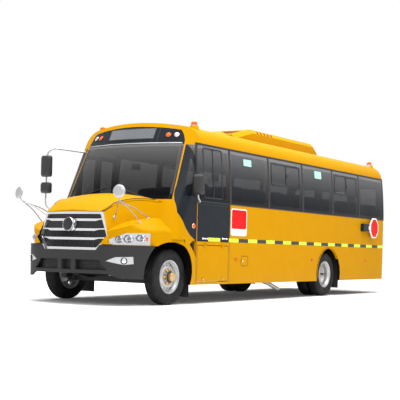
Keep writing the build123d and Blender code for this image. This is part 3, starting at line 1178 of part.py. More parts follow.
def make_trim():
    """Roof unit, beacons, mirrors, lamps, rear bumper and wipers."""
    start = station(2350)
    end = station(5600)
    half = 760.0
    top = ROOF_CROWN_Z + 170
    side_view = yz_face(
        [
            (start, ROOF_CROWN_Z - 120),
            (start, ROOF_CROWN_Z + 10),
            (start + 620, top),
            (end - 160, top),
            (end, top - 110),
            (end, ROOF_CROWN_Z - 120),
        ]
    )
    unit = along_x(side_view, -half, half)
    ridge = [e for e in unit.edges() if e.center().Z > ROOF_CROWN_Z + 60 and abs(e.center().X) > half - 1]
    unit = chamfer(ridge, 70)
    unit = unit - body_prism(-0.3, start - 100, end + 100)
    nodes["roof_ac_unit"] = unit

    beacons = []
    for distance in (790, 7900):
        y = station(distance)
        foot = Pos(930, y, 2740) * Cone(115, 70, 190)
        foot = foot - body_prism(-0.3, y - 300, y + 300)
        lamp = Pos(930, y, 2871) * Cylinder(52, 72)
        ring = Pos(930, y, 2838) * Cylinder(64, 14)
        beacons.append(foot + lamp + ring)
    nodes["roof_beacons"] = both_sides(beacons[0]) + both_sides(beacons[1])

    disc_centre = (970.0, station(-1160), 1660.0)
    hub = (930.0, station(-1090), 1520.0)
    feet = ((640.0, station(-830), 1225.0), (905.0, station(-360), 1355.0), (960.0, station(-640), 1250.0))
    elbow = (960.0, station(-1130), 1560.0)
    arm = Pos(*hub) * Sphere(17) + Pos(*elbow) * Sphere(13) + rod([disc_centre, elbow], 9) + rod([elbow, hub], 9)
    for foot in feet:
        arm = arm + rod([hub, foot], 9) + Pos(*foot) * Sphere(24)
    head = Plane(origin=disc_centre, z_dir=(0.25, -0.9, 0.1)) * (Pos(0, 0, 6) * Cylinder(95, 34))
    nose = fender_mass(-SEAM, BODY_BOTTOM_Z) + (hood_barrel(-SEAM) & hood_prism(-SEAM)) + cowl_mass(-SEAM, COWL_BOTTOM_Z)
    crossview = both_sides(arm + head - nose)

    post = [
        (-1030, station(505), 2440),
        (-1285, station(-60), 2470),
        (-1330, station(-150), 2390),
        (-1330, station(-170), 1600),
        (-1200, station(-300), 1520),
        (-930, station(-420), 1370),
    ]
    tall = rod(post, 13, 50)
    big = fillet(block((-1430, -1230), (station(-215), station(-125)), (1990, 2340)).edges(), 20)
    small = fillet(block((-1430, -1230), (station(-215), station(-125)), (1720, 1900)).edges(), 20)
    mirror_right = tall + big + small
    arm_left = rod([(1215, station(505), 1590), (1330, station(420), 1590), (1345, station(330), 1650), (1345, station(330), 1800)], 12, 20)
    head_left = fillet(block((1250, 1430), (station(290), station(370)), (1700, 2010)).edges(), 24)
    body = (body_prism(-SEAM, station(-700), station(1200)) & cab_form(-SEAM)) + nose
    nodes["mirrors"] = [crossview, mirror_right - body, (arm_left + head_left) - body]

    rear_low = block((-1180, 1180), (BODY_REAR_Y - 30, BODY_REAR_Y + 46), (390, 600))
    rear_low = fillet(rear_low.edges().filter_by(Axis.Z), 30)
    nodes["rear_bumper"] = rear_low - block((-1300, 1300), (BODY_REAR_Y - 200, BODY_REAR_Y + 0.3), (0, 700))
    lamps = []
    for z0, z1 in ((640, 900), (2360, 2450)):
        lamp = block((1000, 1120), (BODY_REAR_Y + 0.3, BODY_REAR_Y + 22), (z0, z1))
        lamps.append(lamp)
        lamps.append(mirror(lamp, about=Plane.YZ))
    nodes["rear_lamps"] = lamps

    # Columns: X and Z of the wiper's pivot, X and Z of its tip
    arms = []
    for x0, z0, x1, z1 in ((620, 1640, 120, 1800), (-750, 1640, -120, 1800)):
        points = []
        for x, z in ((x0, z0), ((x0 + x1) / 2, (z0 + z1) / 2), (x1, z1)):
            slope = x / sqrt(SCREEN_RADIUS**2 - x**2)
            reach = (WIPER_RADIUS + 2 * SEAM) * hypot(1, slope, tan(radians(SCREEN_RAKE))) * 1.02
            points.append((x, screen_y(x, z) - reach, z))
        path = ThreePointArc(*points)
        arms.append(sweep(Plane(origin=path @ 0, z_dir=path % 0) * Circle(WIPER_RADIUS), path=path))
    nodes["wipers"] = arms


def export_all():
    """Writes one STEP for each node."""
    os.makedirs("parts", exist_ok=True)
    for name, shape in nodes.items():
        pieces = shape if isinstance(shape, (list, ShapeList)) else [shape]
        solids = []
        for piece in pieces:
            solids.extend(piece.solids())
        export_step(Compound(children=solids), f"parts/{name}.step")


mouth, quarter = make_body()
make_glazing(mouth, quarter)
make_nose()
make_grille()
make_front_bumper()
make_wheels()
make_chassis()
make_underbody()
make_interior()
make_doors()
make_stop_arm()
make_trim()
export_all()
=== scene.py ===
"""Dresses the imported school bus: finishes, glazing, trim, lamps, wheels, mirrors, seats, light and camera.

Lengths are metres. +Z is up, the front faces -Y and the driver sits at +X. Places along the bus are given
behind the front axle, as on a maker's side view.
"""

from __future__ import annotations

import json
import logging
import math
from dataclasses import dataclass
from enum import Enum
from typing import Any, Iterable, Sequence

import bmesh
import bpy
from mathutils import Matrix, Vector
from mathutils.bvhtree import BVHTree

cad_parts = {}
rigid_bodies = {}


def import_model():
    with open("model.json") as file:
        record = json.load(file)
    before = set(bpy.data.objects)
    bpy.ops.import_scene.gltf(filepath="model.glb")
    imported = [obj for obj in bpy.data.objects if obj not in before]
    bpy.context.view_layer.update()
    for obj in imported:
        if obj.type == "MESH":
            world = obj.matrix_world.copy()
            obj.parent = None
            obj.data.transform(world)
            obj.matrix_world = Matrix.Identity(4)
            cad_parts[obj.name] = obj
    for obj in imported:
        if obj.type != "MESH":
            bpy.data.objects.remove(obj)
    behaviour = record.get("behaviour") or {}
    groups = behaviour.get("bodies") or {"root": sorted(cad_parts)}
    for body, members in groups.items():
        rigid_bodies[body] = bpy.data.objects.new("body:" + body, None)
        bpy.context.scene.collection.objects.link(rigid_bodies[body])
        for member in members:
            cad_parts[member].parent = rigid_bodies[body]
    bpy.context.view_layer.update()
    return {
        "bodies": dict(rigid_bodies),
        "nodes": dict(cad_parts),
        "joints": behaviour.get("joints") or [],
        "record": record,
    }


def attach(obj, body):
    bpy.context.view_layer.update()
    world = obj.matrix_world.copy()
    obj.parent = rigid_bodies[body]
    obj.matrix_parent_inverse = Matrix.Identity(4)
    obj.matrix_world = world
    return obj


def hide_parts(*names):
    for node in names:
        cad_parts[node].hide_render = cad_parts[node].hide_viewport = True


LOG = logging.getLogger("school_bus")
FRONT_AXLE_Y = -3.490
REAR_AXLE = 5.300
AXLE_Z = 0.428
# Signs of X, the right side first
SIGNS = (-1, 1)
# A turned profile stops this far from its axis
POLE = 0.0005
Point = tuple[float, float, float]
Flat = tuple[float, float]
Colour = tuple[float, float, float]
Spot = tuple[Vector, Vector]


def behind(distance: float) -> float:
    """Y of a place this far behind the front axle."""
    return FRONT_AXLE_Y + distance


class Side(Enum):
    """Side of the bus, as the sign of X."""

    LEFT = 1
    RIGHT = -1

    @property
    def label(self) -> str:
        """The side's word in the names of pieces."""
        return self.name.lower()


@dataclass(frozen=True)
class BodySection:
    """The body's side and roof line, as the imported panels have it."""

    half_width: float = 1.225
    straight_top: float = 1.450
    bow_radius: float = 9.0
    bottom: float = 0.305
    belt: float = 1.610
    glass_top: float = 2.500
    gutter: float = 2.530
    crown: float = 2.880
    cab_start: float = 0.490
    cab_end: float = 1.490
    pitch: float = 1.316
    panes: int = 5
    rear: float = 8.150
    wall: float = 0.045

    def side_x(self, z: float, proud: float = 0.0) -> float:
        """Half width of the outer skin at a height, plus a distance outwards."""
        rise = max(0.0, z - self.straight_top)
        return self.half_width - self.bow_radius + math.sqrt(self.bow_radius**2 - rise**2) + proud

    def bays(self) -> list[Flat]:
        """Start and end of each side pane behind the front axle, the driver's first."""
        starts = [self.cab_end + index * self.pitch for index in range(self.panes)]
        return [(self.cab_start, self.cab_end)] + [(start, start + self.pitch) for start in starts]


@dataclass(frozen=True)
class ScreenSection:
    """The windscreen's foot and its half widths there and at the gutter, seen from the front."""

    foot: float = 1.615
    half_low: float = 1.038
    half_high: float = 0.965

    @property
    def slope(self) -> float:
        """How much the half width changes with height."""
        return (self.half_high - self.half_low) / (BODY.gutter - self.foot)

    def half_at(self, z: float) -> float:
        """Half width at a height."""
        return self.half_low + self.slope * (z - self.foot)


BODY = BodySection()
SCREEN = ScreenSection()


class Wire:
    """A shader socket that takes part in Python arithmetic."""

    def __init__(self, recipe: Recipe, socket: Any) -> None:
        """Keeps the recipe that the socket belongs to."""
        self.recipe = recipe
        self.socket = socket

    def maths(self, operation: str, *values: Wire | float, clamp: bool = False) -> Wire:
        """Adds one Math node.

        Args:
            operation: the node's operation.
            values: its inputs, in order.
            clamp: whether the result is held between 0 and 1.

        Returns:
            The node's result.
        """
        settings = {"operation": operation, "use_clamp": clamp}
        return self.recipe.wire("ShaderNodeMath", settings, dict(enumerate(values)))

    def __add__(self, other: Wire | float) -> Wire:
        """Sum."""
        return self.maths("ADD", self, other)

    def __radd__(self, other: float) -> Wire:
        """Sum with a number on the left."""
        return self.maths("ADD", other, self)

    def __sub__(self, other: Wire | float) -> Wire:
        """Difference."""
        return self.maths("SUBTRACT", self, other)

    def __rsub__(self, other: float) -> Wire:
        """Difference from a number on the left."""
        return self.maths("SUBTRACT", other, self)

    def __mul__(self, other: Wire | float) -> Wire:
        """Product."""
        return self.maths("MULTIPLY", self, other)

    def __rmul__(self, other: float) -> Wire:
        """Product with a number on the left."""
        return self.maths("MULTIPLY", other, self)

    def __truediv__(self, other: Wire | float) -> Wire:
        """Quotient."""
        return self.maths("DIVIDE", self, other)

    def __abs__(self) -> Wire:
        """Size without sign."""
        return self.maths("ABSOLUTE", self)

    def __gt__(self, other: Wire | float) -> Wire:
        """1 where this is greater, otherwise 0."""
        return self.maths("GREATER_THAN", self, other)

    def __lt__(self, other: Wire | float) -> Wire:
        """1 where this is less, otherwise 0."""
        return self.maths("LESS_THAN", self, other)

    def ramp(self, low: float, high: float) -> Wire:
        """0 at low, 1 at high, and held outside them."""
        return self.maths("MULTIPLY_ADD", self, 1 / (high - low), -low / (high - low), clamp=True)

    def smaller(self, other: Wire | float) -> Wire:
        """The smaller of two values."""
        return self.maths("MINIMUM", self, other)

    def larger(self, other: Wire | float) -> Wire:
        """The larger of two values."""
        return self.maths("MAXIMUM", self, other)

    def sine(self) -> Wire:
        """Sine of an angle in radians."""
        return self.maths("SINE", self)

    def fraction(self) -> Wire:
        """Part after the decimal point."""
        return self.maths("FRACT", self)


class Recipe:
    """Node tree of one material, or of the world."""

    def __init__(self, owner: Any, output: str = "ShaderNodeOutputMaterial") -> None:
        """Empties the tree and adds its output.

        Args:
            owner: the material or world that holds the tree.
            output: type name of the output node.
        """
        self.owner = owner
        owner.use_nodes = True
        self.tree = owner.node_tree
        self.tree.nodes.clear()
        self.output = self.tree.nodes.new(output)

    def node(
        self, kind: str, settings: dict[str, Any] | None = None, sockets: dict[Any, Any] | None = None
    ) -> Any:
        """Adds a node.

        Args:
            kind: Blender's type name.
            settings: its properties, set first.
            sockets: a number or a Wire for each input, by name, identifier or index.

        Returns:
            The node.
        """
        node = self.tree.nodes.new(kind)
        for name, value in (settings or {}).items():
            setattr(node, name, value)
        for key, value in (sockets or {}).items():
            target = self.find(node.inputs, key)
            if isinstance(value, Wire):
                self.tree.links.new(value.socket, target)
            else:
                target.default_value = value
        return node

    def wire(
        self,
        kind: str,
        settings: dict[str, Any] | None = None,
        sockets: dict[Any, Any] | None = None,
        output: int | str = 0,
    ) -> Wire:
        """Adds a node, as node() does, and gives one output by its index or name."""
        return Wire(self, self.node(kind, settings, sockets).outputs[output])

    @staticmethod
    def find(sockets: Any, key: Any) -> Any:
        """Socket by index, name or identifier."""
        if isinstance(key, int):
            return sockets[key]
        return next(s for s in sockets if key in (s.identifier, s.name) and s.enabled)

    def axes(self, vector: Wire) -> tuple[Wire, ...]:
        """X, Y and Z of a vector."""
        split = self.node("ShaderNodeSeparateXYZ", None, {0: vector})
        return tuple(Wire(self, output) for output in split.outputs)

    def position(self) -> tuple[Wire, ...]:
        """Object coordinates as a vector and as X, Y and Z."""
        place = self.wire("ShaderNodeTexCoord", output="Object")
        return (place, *self.axes(place))

    def facing(self) -> tuple[Wire, ...]:
        """The surface's own direction as X, Y and Z."""
        return self.axes(self.wire("ShaderNodeTexCoord", output="Normal"))

    def noise(self, place: Wire, scale: float, detail: float = 3.0) -> Wire:
        """Soft noise from 0 to 1, by its cells per metre and its octaves."""
        return self.wire("ShaderNodeTexNoise", None, {"Vector": place, "Scale": scale, "Detail": detail})

    def mix(self, factor: Wire | float, low: Wire | Colour, high: Wire | Colour) -> Wire:
        """Colour between two others.

        Args:
            factor: 0 for the first colour, 1 for the second.
            low: the first colour.
            high: the second colour.

        Returns:
            The mixed colour.
        """
        sockets = {"Factor_Float": factor}
        for key, value in (("A_Color", low), ("B_Color", high)):
            sockets[key] = value if isinstance(value, Wire) else (*value, 1.0)
        return self.wire("ShaderNodeMix", {"data_type": "RGBA"}, sockets, 2)

    def bump(self, height: Wire, depth: float) -> Wire:
        """Normal from a height between 0 and 1 that stands for depth metres."""
        return self.wire("ShaderNodeBump", None, {"Height": height, "Distance": depth})

    def surface(self, shader: Wire) -> Any:
        """Joins a shader to the output and gives the tree's owner."""
        self.tree.links.new(shader.socket, self.output.inputs[0])
        return self.owner


@dataclass(frozen=True)
class Finish:
    """A surface finish: base values, with grain and slow variation of colour and gloss."""

    name: str
    colour: Colour
    metallic: float = 0.0
    roughness: float = 0.5
    coat: float = 0.0
    coat_roughness: float = 0.04
    grain: float = 0.0
    grain_scale: float = 900.0
    mottle: float = 0.05
    mottle_scale: float = 4.0
    gloss_swing: float = 0.04
    glow: float = 0.0
    alpha: float = 1.0
    specular: float = 0.5

    def base_colour(self, recipe: Recipe) -> Wire:
        """Base colour with slow variation.

        Args:
            recipe: the material's tree.

        Returns:
            The colour.
        """
        place = recipe.position()[0]
        cloud = recipe.noise(place, self.mottle_scale)
        dark = tuple(c * (1 - self.mottle) for c in self.colour)
        light = tuple(min(1.0, c * (1 + self.mottle)) for c in self.colour)
        return recipe.mix(cloud.ramp(0.3, 0.7), dark, light)

    def gloss(self, recipe: Recipe) -> Wire:
        """Roughness with slow variation, in patches smaller than the colour's.

        Args:
            recipe: the material's tree.

        Returns:
            The roughness.
        """
        place = recipe.position()[0]
        cloud = recipe.noise(place, 2.3 * self.mottle_scale)
        return (self.roughness - self.gloss_swing) + 2 * self.gloss_swing * cloud

    def relief(self, recipe: Recipe) -> Wire | None:
        """Normal of the fine grain.

        Args:
            recipe: the material's tree.

        Returns:
            The normal, or None on a smooth finish.
        """
        if not self.grain:
            return None
        place = recipe.position()[0]
        return recipe.bump(recipe.noise(place, self.grain_scale, 2.0), self.grain)

    def opacity(self, recipe: Recipe) -> Wire | float:
        """How much the surface hides what is behind it."""
        return self.alpha

    def build(self) -> bpy.types.Material:
        """Makes the material.

        Returns:
            The material, which carries the finish's name.
        """
        recipe = Recipe(bpy.data.materials.new(self.name))
        base = self.base_colour(recipe)
        sockets: dict[Any, Any] = {
            "Base Color": base,
            "Roughness": self.gloss(recipe),
            "Metallic": self.metallic,
            "Coat Weight": self.coat,
            "Coat Roughness": self.coat_roughness,
            "Specular IOR Level": self.specular,
        }
        relief = self.relief(recipe)
        if relief:
            sockets["Normal"] = relief
        opacity = self.opacity(recipe)
        if isinstance(opacity, Wire) or opacity < 1:
            sockets["Alpha"] = opacity
        if self.glow:
            sockets["Emission Color"] = base
            sockets["Emission Strength"] = self.glow
        return recipe.surface(recipe.wire("ShaderNodeBsdfPrincipled", None, sockets))


BLACK_LINING: Colour = (0.008, 0.008, 0.009)


@dataclass(frozen=True)
class PanelPaint(Finish):
    """Gloss enamel outside, grey lining on the faces that look into the cabin, road dust low down.

    A face looks inwards where its direction points towards the centre line at centre_y and centre_z, with
    the part along the bus counted by lengthwise. Below lining_low the lining is black.
    """

    lining: Colour = (0.34, 0.35, 0.36)
    lining_low: float = 0.985
    centre_y: float = 0.4
    centre_z: float = 1.45
    lengthwise: float = 0.3
    inward_below: float = -0.02
    dust: Colour = (0.42, 0.30, 0.12)
    dust_top: float = 0.62
    dust_most: float = 0.20

    def inward(self, recipe: Recipe) -> Wire:
        """1 on faces that look inwards, otherwise 0.

        Args:
            recipe: the material's tree.

        Returns:
            The mask.
        """
        _, x, y, z = recipe.position()
        nx, ny, nz = recipe.facing()
        outward = nx * x + nz * (z - self.centre_z) + ny * (y - self.centre_y) * self.lengthwise
        return outward < self.inward_below

    def base_colour(self, recipe: Recipe) -> Wire:
        """Enamel, lining and dust.

        Args:
            recipe: the material's tree.

        Returns:
            The colour.
        """
        place, _, _, z = recipe.position()
        paint = super().base_colour(recipe)
        cloud = recipe.noise(place, 6.0, 5.0)
        low = (self.dust_top - z) / self.dust_top
        dusty = recipe.mix((low * cloud).ramp(0.08, 0.9) * self.dust_most, paint, self.dust)
        lining = recipe.mix(z < self.lining_low, self.lining, BLACK_LINING)
        return recipe.mix(self.inward(recipe), dusty, lining)


@dataclass(frozen=True)
class NosePaint(PanelPaint):
    """Gloss enamel outside, black in the wheel houses, and black as painted shade in the bay under the hood,
    which darkens the hood's shut gap.
    """

    lining: Colour = BLACK_LINING
    centre_y: float = FRONT_AXLE_Y
    centre_z: float = AXLE_Z
    lengthwise: float = 0.6
    inward_below: float = 0.0
    shade_bay_half: float = 0.66
    shade_bay_top: float = 1.12
    shade_bay_front: float = -0.98

    def inward(self, recipe: Recipe) -> Wire:
        """1 on faces that look towards the axle, or that stand beside the engine and take black as painted
        shade, otherwise 0.

        Args:
            recipe: the material's tree.

        Returns:
            The mask.
        """
        _, x, y, z = recipe.position()
        # Faces in the bay under the hood: the black here is painted shade, seen through the hood's gap
        bay = (abs(x) < self.shade_bay_half) * (z < self.shade_bay_top) * (y > behind(self.shade_bay_front))
        return super().inward(recipe).larger(bay)


@dataclass(frozen=True)
class WindowGlass(Finish):
    """Tinted pane with a printed dark border along its bay's edges, and a painted sky reflection that
    lightens it towards the roof.
    """

    low_tint: Colour = (0.005, 0.0075, 0.011)
    # Colour at the top of the painted sky reflection; the glass's own dark tint is low_tint
    sky_reflection_tint: Colour = (0.200, 0.200, 0.206)
    reflection_top: float = BODY.glass_top + 0.05
    border: float = 0.055
    inner_x: float = 1.1

    def base_colour(self, recipe: Recipe) -> Wire:
        """Dark tint with a painted sky reflection that lightens it towards the roof."""
        # Painted reflection: the tint blends from dark glass to the lighter colour of a mirrored sky as the
        # pane rises
        rise = recipe.position()[3].ramp(BODY.belt, self.reflection_top)
        return recipe.mix(rise * rise, self.low_tint, self.sky_reflection_tint)

    def opacity(self, recipe: Recipe) -> Wire | float:
        """Solid on the side panes' printed border, see-through inside it.

        Args:
            recipe: the material's tree.

        Returns:
            The opacity.
        """
        _, x, y, z = recipe.position()
        turn = ((y - behind(BODY.cab_end)) / BODY.pitch).fraction()
        near = abs(turn - 0.5) > (0.5 - self.border / BODY.pitch)
        ends = (z < BODY.belt + self.border).larger(z > BODY.glass_top - self.border)
        side = abs(x) > self.inner_x
        return (side * near.larger(ends)).larger(self.alpha)


@dataclass(frozen=True)
class ScreenGlass(WindowGlass):
    """Windscreen with its printed border and shade band, and the same painted sky reflection as the side
    panes.
    """

    low_tint: Colour = (0.002, 0.002, 0.003)
    # Lightest colour of the windscreen's painted sky reflection, at its top
    sky_reflection_tint: Colour = (0.150, 0.150, 0.150)
    shade_band: float = 0.03
    foot_band: float = 0.06

    def opacity(self, recipe: Recipe) -> Wire | float:
        """Solid near the edge of the screen.

        Args:
            recipe: the material's tree.

        Returns:
            The opacity.
        """
        _, x, _, z = recipe.position()
        edge = (z - SCREEN.foot) * SCREEN.slope + (SCREEN.half_low - self.border)
        ends = (z > BODY.glass_top - self.shade_band).larger(z < SCREEN.foot + self.foot_band)
        return (abs(x) > edge).larger(ends).larger(self.alpha)


@dataclass(frozen=True)
class TyreRubber(Finish):
    """Tyre rubber with a dusty bloom."""

    bloom: Colour = (0.045, 0.042, 0.038)
    bloom_most: float = 0.6
    patch_scale: float = 9.0

    def base_colour(self, recipe: Recipe) -> Wire:
        """Black rubber with patches of dust."""
        cloud = recipe.noise(recipe.position()[0], self.patch_scale, 5.0)
        return recipe.mix(cloud.ramp(0.45, 0.8) * self.bloom_most, self.colour, self.bloom)


@dataclass(frozen=True)
class ReflectiveTape(Finish):
    """Retroreflective film with its fine cell pattern."""

    cell_scale: float = 260.0
    cell_edge: float = 0.2
    cell_depth: float = 0.0003

    def relief(self, recipe: Recipe) -> Wire:
        """Ridges between the cells.

        Args:
            recipe: the material's tree.

        Returns:
            The normal.
        """
        place = recipe.position()[0]
        settings = {"feature": "DISTANCE_TO_EDGE"}
        edge = recipe.wire("ShaderNodeTexVoronoi", settings, {"Vector": place, "Scale": self.cell_scale})
        return recipe.bump(edge.ramp(0.0, self.cell_edge), self.cell_depth)


@dataclass(frozen=True)
class WovenCover(Finish):
    """Seat cover with a fine weave."""

    thread: float = 0.004
    thread_depth: float = 0.0006

    def relief(self, recipe: Recipe) -> Wire:
        """Crossing threads.

        Args:
            recipe: the material's tree.

        Returns:
            The normal.
        """
        _, x, y, z = recipe.position()
        turn = math.tau / self.thread
        across = (x * turn).sine()
        along = ((y + z) * turn).sine()
        return recipe.bump(0.5 + across * along * 0.5, self.thread_depth)


ENAMEL: dict[str, Any] = {
    "colour": (0.530, 0.250, 0.0003),
    "roughness": 0.36,
    "specular": 0.02,
    "mottle": 0.02,
    "grain": 0.00008,
    "grain_scale": 240.0,
}
CASTING: dict[str, Any] = {"metallic": 0.5, "roughness": 0.65, "grain": 0.0008, "grain_scale": 300}
LENS: dict[str, Any] = {"roughness": 0.2, "specular": 0.15, "grain": 0.0006, "grain_scale": 160}
RUBBER: dict[str, Any] = {"roughness": 0.72, "grain": 0.0003, "grain_scale": 500, "specular": 0.2}


FINISHES: tuple[Finish, ...] = (
    PanelPaint("school_yellow", **ENAMEL),
    NosePaint("nose_yellow", **ENAMEL),
    Finish("gloss_charcoal", (0.013, 0.0165, 0.021), roughness=0.22, specular=0.10, mottle=0.08),
    Finish(
        "bumper_grain", (0.029, 0.029, 0.030), roughness=0.62, grain=0.0004, grain_scale=700, specular=0.2
    ),
    Finish("seal_black", (0.008, 0.008, 0.010), roughness=0.55, grain=0.0002),
    Finish("bright_chrome", (0.84, 0.84, 0.86), metallic=0.85, roughness=0.22, mottle=0.02),
    Finish("satin_silver", (0.46, 0.46, 0.47), metallic=0.55, roughness=0.40, mottle=0.08, grain=0.0002),
    Finish("tube_grey", (0.36, 0.36, 0.37), metallic=0.6, roughness=0.38, grain=0.0002),
    Finish("golden_zinc", (0.62, 0.40, 0.14), metallic=0.9, roughness=0.36, mottle=0.15, mottle_scale=60),
    Finish("chassis_black", (0.014, 0.014, 0.015), roughness=0.55, grain=0.0004, mottle=0.2),
    Finish("bare_casting", (0.05, 0.05, 0.05), **CASTING, mottle=0.2),
    Finish("flap_rubber", (0.012, 0.012, 0.012), roughness=0.8, grain=0.0005),
    Finish("grey_floor", (0.10, 0.10, 0.105), roughness=0.75, grain=0.0006, grain_scale=420),
    Finish("dash_grain", (0.022, 0.023, 0.026), roughness=0.7, grain=0.0006, grain_scale=600),
    Finish("mirror_housing", (0.020, 0.020, 0.022), roughness=0.48, grain=0.0003, grain_scale=800),
    Finish("dull_steel", (0.34, 0.33, 0.32), metallic=0.85, roughness=0.42, mottle=0.2),
    Finish("lamp_reflector", (0.74, 0.75, 0.77), metallic=0.85, roughness=0.16, coat=1.0, mottle=0.03),
    Finish("lamp_depth", (0.22, 0.23, 0.24), metallic=0.7, roughness=0.2, coat=1.0),
    Finish("red_lens", (0.46, 0.006, 0.004), **LENS),
    # On the headlamps' amber reflectors, which hold no lamp, this glow is painted light
    Finish("amber_lens", (0.85, 0.115, 0.003), **LENS, glow=0.10),
    Finish("white_film", (0.82, 0.82, 0.82), roughness=0.35, mottle=0.02),
    Finish("black_film", (0.010, 0.011, 0.013), roughness=0.35),
    Finish("louvre_brown", (0.12, 0.030, 0.003), roughness=0.6, specular=0.1),
    Finish("display_grey", (0.105, 0.115, 0.125), roughness=0.15, coat=1.0),
    Finish("mint_label", (0.40, 0.80, 0.62), roughness=0.3),
    Finish("mirror_face", (0.86, 0.88, 0.90), metallic=1.0, roughness=0.03, mottle=0.0),
    # The lime tape's glow is painted light: it stands for the bright return of the reflective film
    ReflectiveTape("lime_tape", (0.56, 0.88, 0.004), roughness=0.35, coat=0.4, glow=0.06),
    ReflectiveTape("red_film", (0.72, 0.004, 0.004), roughness=0.40, specular=0.1),
    WovenCover("seat_cover", (0.055, 0.058, 0.070), roughness=0.85),
    TyreRubber("tyre_rubber", (0.012, 0.012, 0.013), **RUBBER),
    WindowGlass("side_glass", (0.03, 0.03, 0.03), roughness=0.05, specular=0.10, alpha=0.55),
    ScreenGlass("screen_glass", (0.03, 0.03, 0.03), roughness=0.05, specular=0.08, alpha=0.57),
)


class Palette:
    """All finishes by name, each built once."""

    def __init__(self) -> None:
        """Builds every material."""
        self.made = {finish.name: finish.build() for finish in FINISHES}

    def __getitem__(self, name: str) -> bpy.types.Material:
        """A material by the finish's name."""
        return self.made[name]


class Builder:
    """Collects the parts of one piece and turns them into a single closed-shell mesh object."""

    def __init__(self) -> None:
        """Starts with no parts."""
        self.verts: list[Vector] = []
        self.faces: list[tuple[int, ...]] = []
        self.marks: list[int] = []

    def add(self, verts: Iterable[Sequence[float]], faces: Iterable[Sequence[int]], mark: int = 0) -> None:
        """Adds loose geometry.

        Args:
            verts: its corners.
            faces: corner numbers of each face.
            mark: material mark.
        """
        base = len(self.verts)
        self.verts.extend(Vector(v) for v in verts)
        for face in faces:
            self.faces.append(tuple(base + i for i in face))
            self.marks.append(mark)

    def box(self, x: Flat, y: Flat, z: Flat, mark: int = 0) -> None:
        """Adds a box from three (low, high) pairs.

        Args:
            x: its extent across the bus.
            y: its extent along the bus.
            z: its extent upwards.
            mark: material mark.
        """
        verts = [(a, b, c) for a in x for b in y for c in z]
        faces = ((0, 1, 3, 2), (4, 6, 7, 5), (0, 4, 5, 1), (2, 3, 7, 6), (0, 2, 6, 4), (1, 5, 7, 3))
        self.add(verts, faces, mark)

    def loft(self, rings: Sequence[Sequence[Sequence[float]]], mark: int = 0, closed: bool = False) -> None:
        """Joins rings of equal length into a skin, with capped ends unless the loft closes on itself.

        Args:
            rings: the rings, each a list of points.
            mark: material mark.
            closed: whether the last ring joins up with the first.
        """
        count = len(rings[0])
        verts = [point for ring in rings for point in ring]
        faces = []
        steps = len(rings) if closed else len(rings) - 1
        for step in range(steps):
            a = step * count
            b = (step + 1) % len(rings) * count
            for i in range(count):
                j = (i + 1) % count
                faces.append((a + i, a + j, b + j, b + i))
        if not closed:
            faces.append(tuple(range(count)))
            faces.append(tuple(range(len(verts) - count, len(verts))))
        self.add(verts, faces, mark)

    def prism(
        self, outline: Sequence[Flat], depth: Flat, place: Matrix, bevel: float = 0.0, mark: int = 0
    ) -> None:
        """Extrudes an outline along the place's Z, with its front edge drawn in by the bevel.

        Args:
            outline: corners in the place's X and Y.
            depth: start and end along its Z.
            place: where the outline lies.
            bevel: width of the bevel on the front edge.
            mark: material mark.
        """
        middle = Vector([sum(p[axis] for p in outline) / len(outline) for axis in (0, 1)])
        levels = [(d, 0.0) for d in depth]
        if bevel:
            levels = [(depth[0], 0.0), (depth[1] - bevel, 0.0), (depth[1], bevel)]
        rings = []
        for z, draw in levels:
            ring = []
            for point in outline:
                arm = Vector(point) - middle
                near = middle + arm * max(0.0, 1 - draw / max(arm.length, 1e-6))
                ring.append(place @ Vector((near.x, near.y, z)))
            rings.append(ring)
        self.loft(rings, mark)

    def lathe(self, profile: Sequence[Flat], place: Matrix, steps: int = 32, mark: int = 0) -> None:
        """Turns a closed profile of (radius, height) about the place's Z.

        Args:
            profile: corners of the section.
            place: where the axis stands.
            steps: slices round the axis.
            mark: material mark.
        """
        rings = []
        for step in range(steps):
            angle = math.tau * step / steps
            turn = (math.cos(angle), math.sin(angle))
            rings.append([place @ Vector((r * turn[0], r * turn[1], h)) for r, h in profile])
        self.loft(rings, mark, closed=True)

    def tube(self, path: Sequence[Point], radius: float, sides: int = 12, mark: int = 0) -> None:
        """Sweeps a round section along a path.

        Args:
            path: points of the tube's middle.
            radius: its radius.
            sides: corners of the section.
            mark: material mark.
        """
        points = [Vector(p) for p in path]
        angles = [math.tau * i / sides for i in range(sides)]
        rings = []
        for index, point in enumerate(points):
            before = points[max(index - 1, 0)]
            after = points[min(index + 1, len(points) - 1)]
            along = (after - before).normalized()
            across = along.cross(Vector((0, 0, 1)))
            if across.length < 1e-3:
                across = along.cross(Vector((1, 0, 0)))
            across.normalize()
            rise = across.cross(along)
            rings.append([point + radius * (math.cos(a) * across + math.sin(a) * rise) for a in angles])
        self.loft(rings, mark)

    def absorb(self, mesh: bpy.types.Mesh, place: Matrix | None = None) -> None:
        """Adds a finished mesh, moved to a place."""
        place = place or Matrix.Identity(4)
        self.add([place @ v.co for v in mesh.vertices], [tuple(p.vertices) for p in mesh.polygons])

    def skin_patch(
        self, side: Side, run: Flat, rise: Flat, depth: Flat, mark: int = 0, steps: int = 5
    ) -> None:
        """Adds a thin closed patch on the body's side.

        Args:
            side: left or right.
            run: start and end behind the front axle.
            rise: lowest and highest Z.
            depth: inner and outer face, outwards from the skin.
            mark: material mark.
            steps: slices that follow the side's bow.
        """
        rings = []
        for index in range(steps + 1):
            z = rise[0] + (rise[1] - rise[0]) * index / steps
            corners = ((run[0], depth[0]), (run[1], depth[0]), (run[1], depth[1]), (run[0], depth[1]))
            rings.append([(side.value * BODY.side_x(z, d), behind(y), z) for y, d in corners])
        self.loft(rings, mark)

